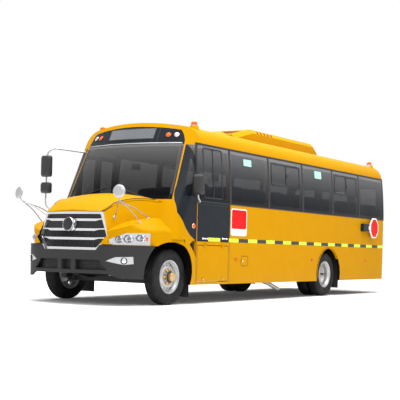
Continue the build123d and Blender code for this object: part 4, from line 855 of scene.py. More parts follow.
    def ribbon(
        self, spots: Sequence[Spot], width: float, depth: Flat, mark: int = 0, closed: bool = False
    ) -> None:
        """Adds a flat strip that lies on a surface.

        Args:
            spots: the surface's points and directions along the strip's middle.
            width: width of the strip.
            depth: inner and outer face, outwards from the surface.
            mark: material mark.
            closed: whether the strip joins up with its start.
        """
        rings = []
        count = len(spots)
        for index, (point, normal) in enumerate(spots):
            before = spots[index - 1][0] if index or closed else point
            after = spots[(index + 1) % count][0] if index + 1 < count or closed else point
            across = normal.cross(after - before).normalized() * (width / 2)
            low, high = point + normal * depth[0], point + normal * depth[1]
            rings.append([low - across, low + across, high + across, high - across])
        self.loft(rings, mark, closed)

    def sheet(self, grid: Sequence[Sequence[Spot]], depth: Flat, mark: int = 0) -> None:
        """Adds a thin closed patch from a grid of surface points.

        Args:
            grid: rows of the surface's points and directions.
            depth: inner and outer face, outwards from the surface.
            mark: material mark.
        """
        wide = len(grid[0])
        for level in depth:
            for row in grid:
                self.verts.extend(point + normal * level for point, normal in row)
        layer = wide * len(grid)
        base = len(self.verts) - 2 * layer
        faces = []
        for i in range(len(grid) - 1):
            for j in range(wide - 1):
                a = i * wide + j
                quad = (a, a + 1, a + wide + 1, a + wide)
                faces.append(quad)
                faces.append(tuple(layer + v for v in reversed(quad)))
        rim = list(range(wide)) + [i * wide + wide - 1 for i in range(1, len(grid))]
        rim += [(len(grid) - 1) * wide + j for j in range(wide - 2, -1, -1)]
        rim += [i * wide for i in range(len(grid) - 2, 0, -1)]
        for here, there in zip(rim, rim[1:] + rim[:1]):
            faces.append((here, there, layer + there, layer + here))
        for face in faces:
            self.faces.append(tuple(base + v for v in face))
            self.marks.append(mark)

    def pad(
        self, centre: Point, size: Point, crown: float, seams: Sequence[float], way: int, mark: int = 0,
        cuts: int = 12, power: float = 5.0
    ) -> None:
        """Adds a stuffed pad: a rounded box with a crowned face and sewn channels.

        Args:
            centre: its middle.
            size: its full size.
            crown: how far its free face stands up.
            seams: places of the channels across X, from -1 to 1.
            way: axis of the crowned face, 1 for Y (towards -Y) and 2 for Z.
            mark: material mark.
            cuts: squares along each edge of the cube that it starts from.
            power: how square its corners are.
        """
        work = bmesh.new()
        bmesh.ops.create_cube(work, size=2.0)
        bmesh.ops.subdivide_edges(work, edges=work.edges[:], cuts=cuts, use_grid_fill=True)
        sign = -1.0 if way == 1 else 1.0
        other = 2 if way == 1 else 1
        for vert in work.verts:
            c = vert.co.copy()
            norm = sum(abs(v) ** power for v in c) ** (1 / power)
            spot = c / norm
            dip = sum(math.exp(-(((spot.x - seam) / 0.035) ** 2)) for seam in seams)
            swell = crown * (1 - spot.x**2) * (1 - spot[other] ** 2) - 0.5 * crown * dip
            place = Vector([spot[i] * size[i] / 2 for i in range(3)])
            if spot[way] * sign > 0.5:
                place[way] += sign * swell
            vert.co = Vector(centre) + place
        faces = [tuple(vert.index for vert in face.verts) for face in work.faces]
        self.add([vert.co.copy() for vert in work.verts], faces, mark)
        work.free()

    def finish(
        self, name: str, materials: Sequence[bpy.types.Material], sharp: float = 35.0, bevel: float = 0.0
    ) -> bpy.types.Object:
        """Makes the object, with its faces turned outwards and its edges sharp beyond an angle.

        Args:
            name: the piece's name.
            materials: one for each mark.
            sharp: angle in degrees beyond which an edge is drawn sharp.
            bevel: width of a bevel put on such edges.

        Returns:
            The object, at the origin.
        """
        mesh = bpy.data.meshes.new(name)
        mesh.from_pydata(self.verts, [], self.faces)
        for material in materials:
            mesh.materials.append(material)
        mesh.polygons.foreach_set("material_index", self.marks)
        work = bmesh.new()
        work.from_mesh(mesh)
        bmesh.ops.remove_doubles(work, verts=work.verts, dist=1e-6)
        if bevel:
            limit = math.radians(sharp)
            edges = [e for e in work.edges if len(e.link_faces) == 2 and e.calc_face_angle(0.0) > limit]
            bmesh.ops.bevel(work, geom=edges, offset=bevel, segments=2, affect="EDGES", clamp_overlap=True)
        bmesh.ops.recalc_face_normals(work, faces=work.faces)
        work.to_mesh(mesh)
        work.free()
        mesh.shade_smooth()
        mesh.set_sharp_from_angle(angle=math.radians(sharp))
        piece = bpy.data.objects.new(name, mesh)
        bpy.context.scene.collection.objects.link(piece)
        return piece


SKIN_NODES = (
    "side_panel_left",
    "side_panel_right",
    "quarter_panels",
    "cab_pillars",
    "side_and_rear_windows",
    "nose_shell",
    "side_hatch",
    "fuel_flap",
    "roof",
    "entrance_door_front",
    "entrance_door_rear",
    "entrance_glass_front",
    "entrance_glass_rear",
)
FACE_NODES = ("windscreen", "visor_panel")


class Workshop:
    """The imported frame, the finishes and the way a finished piece joins the bus."""

    far_ahead: float = -8.0
    far_above: float = 4.0

    def __init__(self, frame: dict[str, Any]) -> None:
        """Keeps the frame and builds the palette.

        Args:
            frame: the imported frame.
        """
        self.frame = frame
        self.palette = Palette()
        self.trees: dict[tuple[str, ...], BVHTree] = {}
        self.row: bpy.types.NodeTree | None = None

    def fit(
        self, piece: bpy.types.Object, body: str, replaced: Sequence[str] = ()
    ) -> bpy.types.Object:
        """Puts a piece on its body.

        Args:
            piece: the finished object.
            body: the body that it rides on.
            replaced: nodes that it stands for.

        Returns:
            The piece.
        """
        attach(piece, body)
        if replaced:
            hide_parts(*replaced)
        LOG.info("piece %s on %s", piece.name, body)
        return piece

    def paint(self, node: str, finish: str) -> None:
        """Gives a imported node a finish."""
        mesh = self.frame["nodes"][node].data
        mesh.materials.clear()
        mesh.materials.append(self.palette[finish])

    def meets(self, nodes: tuple[str, ...], start: Sequence[float], way: Sequence[float]) -> Spot | None:
        """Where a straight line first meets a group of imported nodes.

        Args:
            nodes: the nodes' names.
            start: where the line starts.
            way: its direction.

        Returns:
            The point and the surface's direction there, or None.
        """
        if nodes not in self.trees:
            verts: list[Vector] = []
            faces: list[tuple[int, ...]] = []
            for node in nodes:
                mesh = self.frame["nodes"][node].data
                mesh.calc_loop_triangles()
                base = len(verts)
                verts.extend(v.co.copy() for v in mesh.vertices)
                faces.extend(tuple(base + i for i in t.vertices) for t in mesh.loop_triangles)
            self.trees[nodes] = BVHTree.FromPolygons(verts, faces)
        way = Vector(way).normalized()
        point, normal, _, _ = self.trees[nodes].ray_cast(Vector(start), way)
        if point is None:
            return None
        return point, -normal if normal.dot(way) > 0 else normal

    def touch(self, nodes: tuple[str, ...], start: Sequence[float], way: Sequence[float]) -> Spot:
        """Nearest point of some nodes along a line that has to meet them.

        Args:
            nodes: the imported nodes.
            start: where the line starts.
            way: its direction.

        Returns:
            The point, and the surface's direction back along the line.
        """
        spot = self.meets(nodes, start, way)
        if spot is None:
            raise ValueError(f"no surface of {nodes} from {tuple(start)}")
        return spot

    def beside(self, side: Side, distance: float, z: float) -> Spot:
        """Point of the outer skin, seen straight from one side."""
        return self.touch(SKIN_NODES, (side.value * 2.5, behind(distance), z), (-side.value, 0, 0))

    def front(self, nodes: tuple[str, ...], x: float, z: float) -> Spot:
        """Point of some nodes, seen straight from the front."""
        return self.touch(nodes, (x, self.far_ahead, z), (0, 1, 0))

    def above(self, nodes: tuple[str, ...], x: float, y: float) -> Spot:
        """Point of some nodes, seen straight from above."""
        return self.touch(nodes, (x, y, self.far_above), (0, 0, -1))

    def ahead(self, x: float, z: float) -> Spot:
        """Point of the cab's face, seen straight from the front, or the highest one below a miss.

        Args:
            x: place across the bus.
            z: height.

        Returns:
            The point and the surface's direction there.
        """
        for drop in range(20):
            spot = self.meets(FACE_NODES, (x, self.far_ahead, z - 0.01 * drop), (0, 1, 0))
            if spot:
                return spot
        raise ValueError(f"no face of the cab at {x}, {z}")

    def repeat(self, seed: Builder, count: int, step: Point, turn: Point, finish: str) -> bpy.types.Mesh:
        """Repeats a seed with Geometry Nodes and gives the plain mesh.

        Args:
            seed: the form that repeats.
            count: number of copies.
            step: shift from copy to copy.
            turn: angles about X, Y and Z from copy to copy, in radians.
            finish: the finish's name.

        Returns:
            One mesh with every copy in it.
        """
        holder = seed.finish("seed", [self.palette[finish]])
        modifier = holder.modifiers.new("repeat", "NODES")
        modifier.node_group = self.row_tree()
        values = {"Count": count, "Step": step, "Turn": turn, "Finish": self.palette[finish]}
        for item in modifier.node_group.interface.items_tree:
            if item.item_type == "SOCKET" and item.name in values:
                modifier[item.identifier] = values[item.name]
        holder.update_tag()
        graph = bpy.context.evaluated_depsgraph_get()
        mesh = bpy.data.meshes.new_from_object(holder.evaluated_get(graph), depsgraph=graph)
        seed_mesh = holder.data
        bpy.data.objects.remove(holder)
        bpy.data.meshes.remove(seed_mesh)
        return mesh

    def row_tree(self) -> bpy.types.NodeTree:
        """Geometry Nodes tree that puts a seed on a row of points, turned step by step.

        Returns:
            The tree, built at the first call.
        """
        if self.row is None:
            tree = bpy.data.node_groups.new("repeat_in_a_row", "GeometryNodeTree")
            inputs = {
                "Seed": "Geometry", "Count": "Int", "Step": "Vector", "Turn": "Vector", "Finish": "Material"
            }
            for name, kind in inputs.items():
                tree.interface.new_socket(name, in_out="INPUT", socket_type=f"NodeSocket{kind}")
            tree.interface.new_socket("Result", in_out="OUTPUT", socket_type="NodeSocketGeometry")
            given = tree.nodes.new("NodeGroupInput")
            result = tree.nodes.new("NodeGroupOutput")
            row = tree.nodes.new("GeometryNodeMeshLine")
            index = tree.nodes.new("GeometryNodeInputIndex")
            angle = tree.nodes.new("ShaderNodeVectorMath")
            angle.operation = "SCALE"
            copies = tree.nodes.new("GeometryNodeInstanceOnPoints")
            real = tree.nodes.new("GeometryNodeRealizeInstances")
            coat = tree.nodes.new("GeometryNodeSetMaterial")
            for source, target in (
                (given.outputs["Count"], row.inputs["Count"]),
                (given.outputs["Step"], row.inputs["Offset"]),
                (given.outputs["Turn"], angle.inputs[0]),
                (index.outputs[0], angle.inputs["Scale"]),
                (row.outputs[0], copies.inputs["Points"]),
                (given.outputs["Seed"], copies.inputs["Instance"]),
                (angle.outputs[0], copies.inputs["Rotation"]),
                (copies.outputs[0], real.inputs[0]),
                (real.outputs[0], coat.inputs["Geometry"]),
                (given.outputs["Finish"], coat.inputs["Material"]),
                (coat.outputs[0], result.inputs[0]),
            ):
                tree.links.new(source, target)
            self.row = tree
        return self.row

    def place(self, builder: Builder, name: str, finishes: Sequence[str], slot: str, body: str = "bus",
              replaced: Sequence[str] = (), sharp: float = 35.0, bevel: float = 0.0) -> bpy.types.Object:
        """Finishes a piece and puts it on its body."""
        piece = builder.finish(name, [self.palette[f] for f in finishes], sharp, bevel)
        return self.fit(piece, body, replaced)


NODE_FINISHES: dict[str, str] = {
    "chassis_frame": "chassis_black",
    "cross_members": "chassis_black",
    "front_axle": "chassis_black",
    "rear_axle": "chassis_black",
    "driveline": "bare_casting",
    "tank_and_batteries": "chassis_black",
    "exhaust": "dull_steel",
    "floor_pan": "grey_floor",
    "entrance_steps": "grey_floor",
    "mud_flaps": "flap_rubber",
    "side_panel_left": "school_yellow",
    "side_panel_right": "school_yellow",
    "roof": "school_yellow",
    "rear_wall": "school_yellow",
    "cab_pillars": "school_yellow",
    "quarter_panels": "gloss_charcoal",
    "windscreen": "screen_glass",
    "visor_panel": "gloss_charcoal",
    "side_and_rear_windows": "side_glass",
    "nose_shell": "nose_yellow",
    "grille": "bright_chrome",
    "grille_mesh": "seal_black",
    "front_bumper": "bumper_grain",
    "front_lamps": "lamp_reflector",
    "dashboard": "dash_grain",
    "seats": "seat_cover",
    "stop_arm_bracket": "gloss_charcoal",
    "roof_ac_unit": "school_yellow",
    "roof_beacons": "school_yellow",
    "mirrors": "mirror_housing",
    "rear_bumper": "bumper_grain",
    "rear_lamps": "red_lens",
    "wipers": "seal_black",
    "front_left_knuckle": "bare_casting",
    "front_right_knuckle": "bare_casting",
    "front_left_tyre": "tyre_rubber",
    "front_right_tyre": "tyre_rubber",
    "rear_left_tyres": "tyre_rubber",
    "rear_right_tyres": "tyre_rubber",
    "front_left_rim": "satin_silver",
    "front_right_rim": "satin_silver",
    "rear_left_rims": "satin_silver",
    "rear_right_rims": "satin_silver",
    "hood": "nose_yellow",
    "entrance_door_front": "gloss_charcoal",
    "entrance_door_rear": "gloss_charcoal",
    "entrance_glass_front": "side_glass",
    "entrance_glass_rear": "side_glass",
    "side_hatch": "school_yellow",
    "fuel_flap": "school_yellow",
    "stop_sign": "white_film",
    "rear_exit_door": "school_yellow",
    "rear_exit_glass": "side_glass",
}


def frame_at(point: Sequence[float], normal: Sequence[float]) -> Matrix:
    """Place with Z along a direction and Y as near to upright as it gets.

    Args:
        point: its origin.
        normal: direction of its Z.

    Returns:
        The place.
    """
    z = Vector(normal).normalized()
    x = Vector((0, 0, 1)).cross(z)
    x = x.normalized() if x.length > 1e-4 else Vector((1, 0, 0))
    y = z.cross(x)
    turn = Matrix((x, y, z)).transposed().to_4x4()
    return Matrix.Translation(Vector(point)) @ turn


def rounded(run: Flat, rise: Flat, radius: float, steps: int = 5) -> list[Flat]:
    """Outline of a rectangle with round corners.

    Args:
        run: its extent along the first axis.
        rise: its extent along the second axis.
        radius: of the corners.
        steps: slices of each corner.

    Returns:
        The outline's points.
    """
    outline = []
    corners = ((run[1], rise[1], 0), (run[0], rise[1], 90), (run[0], rise[0], 180), (run[1], rise[0], 270))
    for a, b, start in corners:
        centre_a = a - radius if a == run[1] else a + radius
        centre_b = b - radius if b == rise[1] else b + radius
        for step in range(steps + 1):
            angle = math.radians(start + 90 * step / steps)
            outline.append((centre_a + radius * math.cos(angle), centre_b + radius * math.sin(angle)))
    return outline


def centred(width: float, height: float, radius: float, steps: int = 5) -> list[Flat]:
    """Outline of a rectangle with round corners about the origin."""
    return rounded((-width / 2, width / 2), (-height / 2, height / 2), radius, steps)


def regular(count: int, flat_half: float, turn: float) -> list[Flat]:
    """Regular outline.

    Args:
        count: number of sides.
        flat_half: half distance across flats.
        turn: angle of the first corner, in degrees.

    Returns:
        The outline's points.
    """
    radius = flat_half / math.cos(math.pi / count)
    angles = [math.radians(turn) + math.tau * index / count for index in range(count)]
    return [(radius * math.cos(a), radius * math.sin(a)) for a in angles]


def turned(foot: float, edge: Sequence[Flat], crown: float) -> list[Flat]:
    """Closed profile of a solid turned piece: height of its foot, its edge, height of its crown."""
    return [(POLE, foot), *edge, (POLE, crown)]


def disc(radius: float, low: float, high: float, swell: float = 0.0) -> list[Flat]:
    """Closed profile of a flat disc whose middle swells."""
    return turned(low, [(radius, low), (radius, high)], high + swell)


def dome(radius: float, height: float, rim: float, steps: int = 6) -> list[Flat]:
    """Closed profile of a domed lens on a short rim.

    Args:
        radius: of the lens.
        height: of the dome above the rim.
        rim: height of the rim.
        steps: slices of the dome.

    Returns:
        The profile.
    """
    angles = [math.pi / 2 * step / steps for step in range(steps)]
    arc = [(radius * math.cos(a), rim + height * math.sin(a)) for a in angles]
    return turned(0.0, [(radius, 0.0), *arc], rim + height)


def bezel(inner: float, outer: float, height: float) -> list[Flat]:
    """Closed profile of a bezel with a raised crest."""
    middle = (inner + outer) / 2
    return [(inner, 0.0), (outer, 0.0), (outer, height * 0.6), (middle, height), (inner, height * 0.6)]


@dataclass
class BodyTrim:
    """What is fixed to the sides of the body.

    A run is (start, end) behind the front axle, a rise is (lowest, highest) Z, and a depth is (inner, outer)
    from the skin.
    """

    shop: Workshop
    line_depth: Flat = (-0.002, 0.0032)
    post_half: float = 0.030
    post_ends: Flat = (0.012, 0.055)
    rail_ends: Flat = (0.010, 0.060)
    belt_rail: Flat = (1.602, 1.622)
    head_rail: Flat = (2.498, 2.530)
    vent_bays: tuple[int, ...] = (2, 4)
    vent_margins: Flat = (0.10, 0.12)
    vent_rise: Flat = (2.03, 2.43)
    vent_bar: float = 0.020
    vent_depth: Flat = (-0.002, 0.007)
    post_depth: Flat = (-0.002, 0.0075)
    grip_rise: Flat = (2.20, 2.26)
    driver_frame: tuple[Flat, Flat] = ((0.68, 1.25), (1.67, 2.47))
    driver_post: tuple[Flat, Flat] = ((0.955, 0.975), (1.685, 2.455))
    label_places: tuple[tuple[Flat, Flat], ...] = (((1.95, 2.21), (2.29, 2.40)), ((4.66, 4.95), (2.29, 2.43)))
    panel_run: Flat = (0.505, 1.486)
    panel_rise: Flat = (0.985, 1.602)
    panel_line: Flat = (1.566, 1.572)
    strip_run: Flat = (1.46, 8.09)
    strip_rise: Flat = (0.990, 1.050)
    strip_depth: Flat = (-0.001, 0.0016)
    strip_segments: int = 21
    strip_gap: float = 0.002
    cab_bar: Flat = (0.83, 1.19)
    sign_base: tuple[Flat, Flat] = ((1.515, 2.030), (1.10, 1.55))
    sign_panel: tuple[Flat, Flat] = ((1.535, 2.010), (1.215, 1.530))
    marker_places: tuple[float, ...] = (1.71, 4.56, 7.14)
    marker_rise: Flat = (0.693, 0.727)
    turn_lamp_place: Flat = (0.40, 1.22)
    turn_lamp_radius: float = 0.0365
    handle_places: tuple[Flat, ...] = ((0.74, 1.03), (1.33, 1.04))
    handle_length: float = 0.13
    handle_reach: Flat = (0.004, 0.026)
    hatch_lines: tuple[Flat, Flat] = ((0.519, 1.461), (0.344, 0.931))
    flap_lines: tuple[Flat, Flat] = ((1.876, 2.104), (0.596, 0.769))
    cab_seams: tuple[float, ...] = (0.492, 1.490)
    seam_rise: Flat = (0.310, 0.984)
    gap_depth: Flat = (-0.004, 0.0010)
    lip_reach: float = 0.530
    lip_depth: Flat = (-0.004, 0.010)

    def plate(
        self, builder: Builder, side: Side, outline: Sequence[Flat], depth: Flat, mark: int = 0
    ) -> None:
        """Adds a flat plate on the side from an outline of (distance, height)."""
        rings = [[(side.value * BODY.side_x(z, d), behind(y), z) for y, z in outline] for d in depth]
        builder.loft(rings, mark)

    def spot(self, side: Side, distance: float, z: float) -> Spot:
        """Point of the side at a distance and height, with the direction straight outwards."""
        return Vector((side.value * BODY.side_x(z), behind(distance), z)), Vector((side.value, 0, 0))

    def edging(
        self, builder: Builder, side: Side, area: tuple[Flat, Flat], bar: float, depth: Flat, radius: float
    ) -> None:
        """Adds a closed frame of flat bar on the side.

        Args:
            builder: collects the piece.
            side: left or right.
            area: run and rise of the frame's outer edge.
            bar: width of the bar.
            depth: inner and outer face.
            radius: of the corners along the bar's middle.
        """
        run, rise = area
        middle = rounded((run[0] + bar / 2, run[1] - bar / 2), (rise[0] + bar / 2, rise[1] - bar / 2), radius)
        builder.ribbon([self.spot(side, y, z) for y, z in middle], bar, depth, 0, closed=True)

    def window_lines(self, side: Side) -> None:
        """Black dividers between the panes, the line above them and the belt line.

        Args:
            side: left or right.
        """
        lines = Builder()
        bays = BODY.bays() if side is Side.LEFT else BODY.bays()[1:]
        front = bays[0][0]
        for post in [bay[0] for bay in bays] + [bays[-1][1]]:
            start = max(post - self.post_half, front - self.post_ends[0])
            end = min(post + self.post_half, BODY.rear - self.post_ends[1])
            rise = (self.belt_rail[1], BODY.glass_top)
            lines.skin_patch(side, (start, end), rise, self.line_depth, steps=9)
        run = (front - self.rail_ends[0], BODY.rear - self.rail_ends[1])
        lines.skin_patch(side, run, self.head_rail, self.line_depth, steps=2)
        lines.skin_patch(side, run, self.belt_rail, self.line_depth, steps=1)
        self.shop.place(lines, f"window_lines_{side.label}", ["seal_black"], "dark_panel")

    def vents(self, side: Side) -> None:
        """Sliding vents in the second and fourth windows, and the driver's sliding frame.

        Args:
            side: left or right.
        """
        frames = Builder()
        rise = self.vent_rise
        for index in self.vent_bays:
            start, end = BODY.bays()[index]
            run = (start + self.vent_margins[0], end - self.vent_margins[1])
            self.edging(frames, side, (run, rise), self.vent_bar, self.vent_depth, 0.03)
            middle = (run[0] + run[1]) / 2
            post_rise = (rise[0] + 0.015, rise[1] - 0.015)
            frames.skin_patch(side, (middle - 0.011, middle + 0.011), post_rise, self.post_depth)
            frames.skin_patch(side, (middle + 0.03, middle + 0.05), self.grip_rise, (-0.001, 0.014), steps=1)
        if side is Side.LEFT:
            self.edging(frames, side, self.driver_frame, self.vent_bar, self.vent_depth, 0.03)
            frames.skin_patch(side, *self.driver_post, self.post_depth)
        self.shop.place(frames, f"sliding_frames_{side.label}", ["seal_black"], "dark_panel")

    def labels(self, side: Side) -> None:
        """Blank pale labels on the glass.

        Args:
            side: left or right.
        """
        labels = Builder()
        for run, rise in self.label_places:
            self.plate(labels, side, rounded(run, rise, 0.012), (-0.001, 0.0012))
        self.shop.place(labels, f"window_labels_{side.label}", ["mint_label"], "clear_glass")

    def cab_panel(self) -> None:
        """Dark gloss panel under the driver's window, with its shut line."""
        panel = Builder()
        panel.skin_patch(Side.LEFT, self.panel_run, self.panel_rise, (-0.001, 0.0015), 0, 8)
        panel.skin_patch(Side.LEFT, self.panel_run, self.panel_line, (-0.001, 0.0022), 1, 1)
        self.shop.place(panel, "cab_side_panel", ["gloss_charcoal", "seal_black"], "dark_panel")

    def strips(self, side: Side) -> None:
        """Lime and black segments of the reflective band, repeated with Geometry Nodes.

        Args:
            side: left or right. The right one starts a lime segment later, behind the entrance.
        """
        pitch = (self.strip_run[1] - self.strip_run[0]) / self.strip_segments
        for name, first, count in (("lime_tape", 0, 11), ("black_film", 1, 10)):
            start = self.strip_run[0] + first * pitch
            if side is Side.RIGHT and not first:
                start, count = start + 2 * pitch, count - 1
            seed = Builder()
            run = (start + self.strip_gap, start + pitch - self.strip_gap)
            seed.skin_patch(side, run, self.strip_rise, self.strip_depth, 0, 1)
            band = Builder()
            band.absorb(self.shop.repeat(seed, count, (0, 2 * pitch, 0), (0, 0, 0), name))
            self.shop.place(band, f"{name}_band_{side.label}", [name], "body_paint")
        if side is Side.LEFT:
            bar = Builder()
            self.plate(bar, side, rounded(self.cab_bar, self.strip_rise, 0.008), (-0.001, 0.0030))
            self.shop.place(bar, "cab_lime_bar", ["lime_tape"], "body_paint")

    def sign_plate(self) -> None:
        """White plate with a red panel, both blank."""
        plate = Builder()
        self.plate(plate, Side.LEFT, rounded(*self.sign_base, 0.05, 6), (-0.001, 0.0035), 0)
        self.plate(plate, Side.LEFT, rounded(*self.sign_panel, 0.035, 6), (0.001, 0.0050), 1)
        self.shop.place(plate, "side_sign_plate", ["white_film", "red_film"], "sign_red")

    def markers(self, side: Side) -> None:
        """Small orange side markers.

        Args:
            side: left or right.
        """
        lights = Builder()
        low, high = self.marker_rise
        for y in self.marker_places:
            self.plate(lights, side, rounded((y - 0.048, y + 0.048), (low, high), 0.012), (-0.001, 0.006), 1)
            inner = rounded((y - 0.040, y + 0.040), (low + 0.004, high - 0.004), 0.010)
            self.plate(lights, side, inner, (0.004, 0.012), 0)
        self.shop.place(lights, f"side_markers_{side.label}", ["amber_lens", "seal_black"], "amber_lens")

    def turn_lamp(self, side: Side) -> None:
        """Round amber lamp in a bright bezel on the quarter panel.

        Args:
            side: left or right.
        """
        lamp = Builder()
        point, normal = self.shop.beside(side, *self.turn_lamp_place)
        place = frame_at(point - 0.004 * normal, normal)
        radius = self.turn_lamp_radius
        lamp.lathe(dome(radius, 0.014, 0.012), place, 28, 0)
        lamp.lathe(bezel(radius - 0.001, radius + 0.005, 0.013), place, 28, 1)
        self.shop.place(lamp, f"turn_lamp_{side.label}", ["amber_lens", "bright_chrome"], "amber_lens")

    def handles(self) -> None:
        """Pull handles beside the driver: two feet and a bowed bar each."""
        pulls = Builder()
        length, (stand, bow) = self.handle_length, self.handle_reach
        for y, z in self.handle_places:
            x = BODY.side_x(z)
            path = []
            for step in range(9):
                turn = step / 8
                out = stand + bow * math.sin(math.pi * turn) ** 0.5
                path.append((x + out, behind(y + length * (turn - 0.5)), z))
            pulls.tube(path, 0.008, 10, 0)
            for foot in (-0.5, 0.5):
                place = frame_at((x, behind(y + foot * length), z), (1, 0, 0))
                pulls.lathe(turned(0.0, [(0.018, 0.0), (0.015, 0.006)], 0.007), place, 18, 0)
        self.shop.place(pulls, "cab_handles", ["bright_chrome"], "chrome_trim")

    def shut_lines(self) -> None:
        """Dark gaps round the locker hatch and the filler flap, and the cab's seams."""
        lines = Builder()
        self.edging(lines, Side.LEFT, self.hatch_lines, 0.0055, self.gap_depth, 0.012)
        self.edging(lines, Side.LEFT, self.flap_lines, 0.0045, self.gap_depth, 0.012)
        for y in self.cab_seams:
            lines.skin_patch(Side.LEFT, (y - 0.003, y + 0.003), self.seam_rise, self.gap_depth, 0, 2)
        self.shop.place(lines, "side_shut_lines", ["seal_black"], "dark_panel")

    def latches(self) -> None:
        """Quarter-turn latches of the locker hatch and the lock of the filler flap."""
        knob = turned(0.0, [(0.019, 0.0), (0.019, 0.004), (0.014, 0.008)], 0.008)
        for name, body, spots in (
            ("hatch_latches", "locker_hatch", ((0.71, 0.385), (1.29, 0.385))),
            ("flap_lock", "filler_flap", ((1.93, 0.68),)),
        ):
            knobs = Builder()
            for y, z in spots:
                place = frame_at((BODY.side_x(z) - 0.002, behind(y), z), (1, 0, 0))
                knobs.lathe(knob, place, 20)
                knobs.prism(centred(0.024, 0.007, 0.003, 3), (0.006, 0.012), place)
            self.shop.place(knobs, name, ["bright_chrome"], "chrome_trim", body)

    def arch_lips(self, side: Side) -> None:
        """Rolled lip round the rear wheel's arch.

        Args:
            side: left or right.
        """
        lips = Builder()
        spots = []
        for step in range(29):
            angle = math.pi * (-0.04 + 1.08 * step / 28)
            across, rise = self.lip_reach * math.cos(angle), self.lip_reach * math.sin(angle)
            spots.append(self.spot(side, REAR_AXLE + across, AXLE_Z + rise))
        lips.ribbon(spots, 0.024, self.lip_depth, 0)
        self.shop.place(lips, f"rear_arch_lip_{side.label}", ["school_yellow"], "body_paint", bevel=0.003)

    def build(self) -> None:
        """All side trim."""
        for side in Side:
            self.window_lines(side)
            self.vents(side)
            self.labels(side)
            self.strips(side)
            self.markers(side)
            self.turn_lamp(side)
            self.arch_lips(side)
        self.cab_panel()
        self.sign_plate()
        self.handles()
        self.shut_lines()
        self.latches()


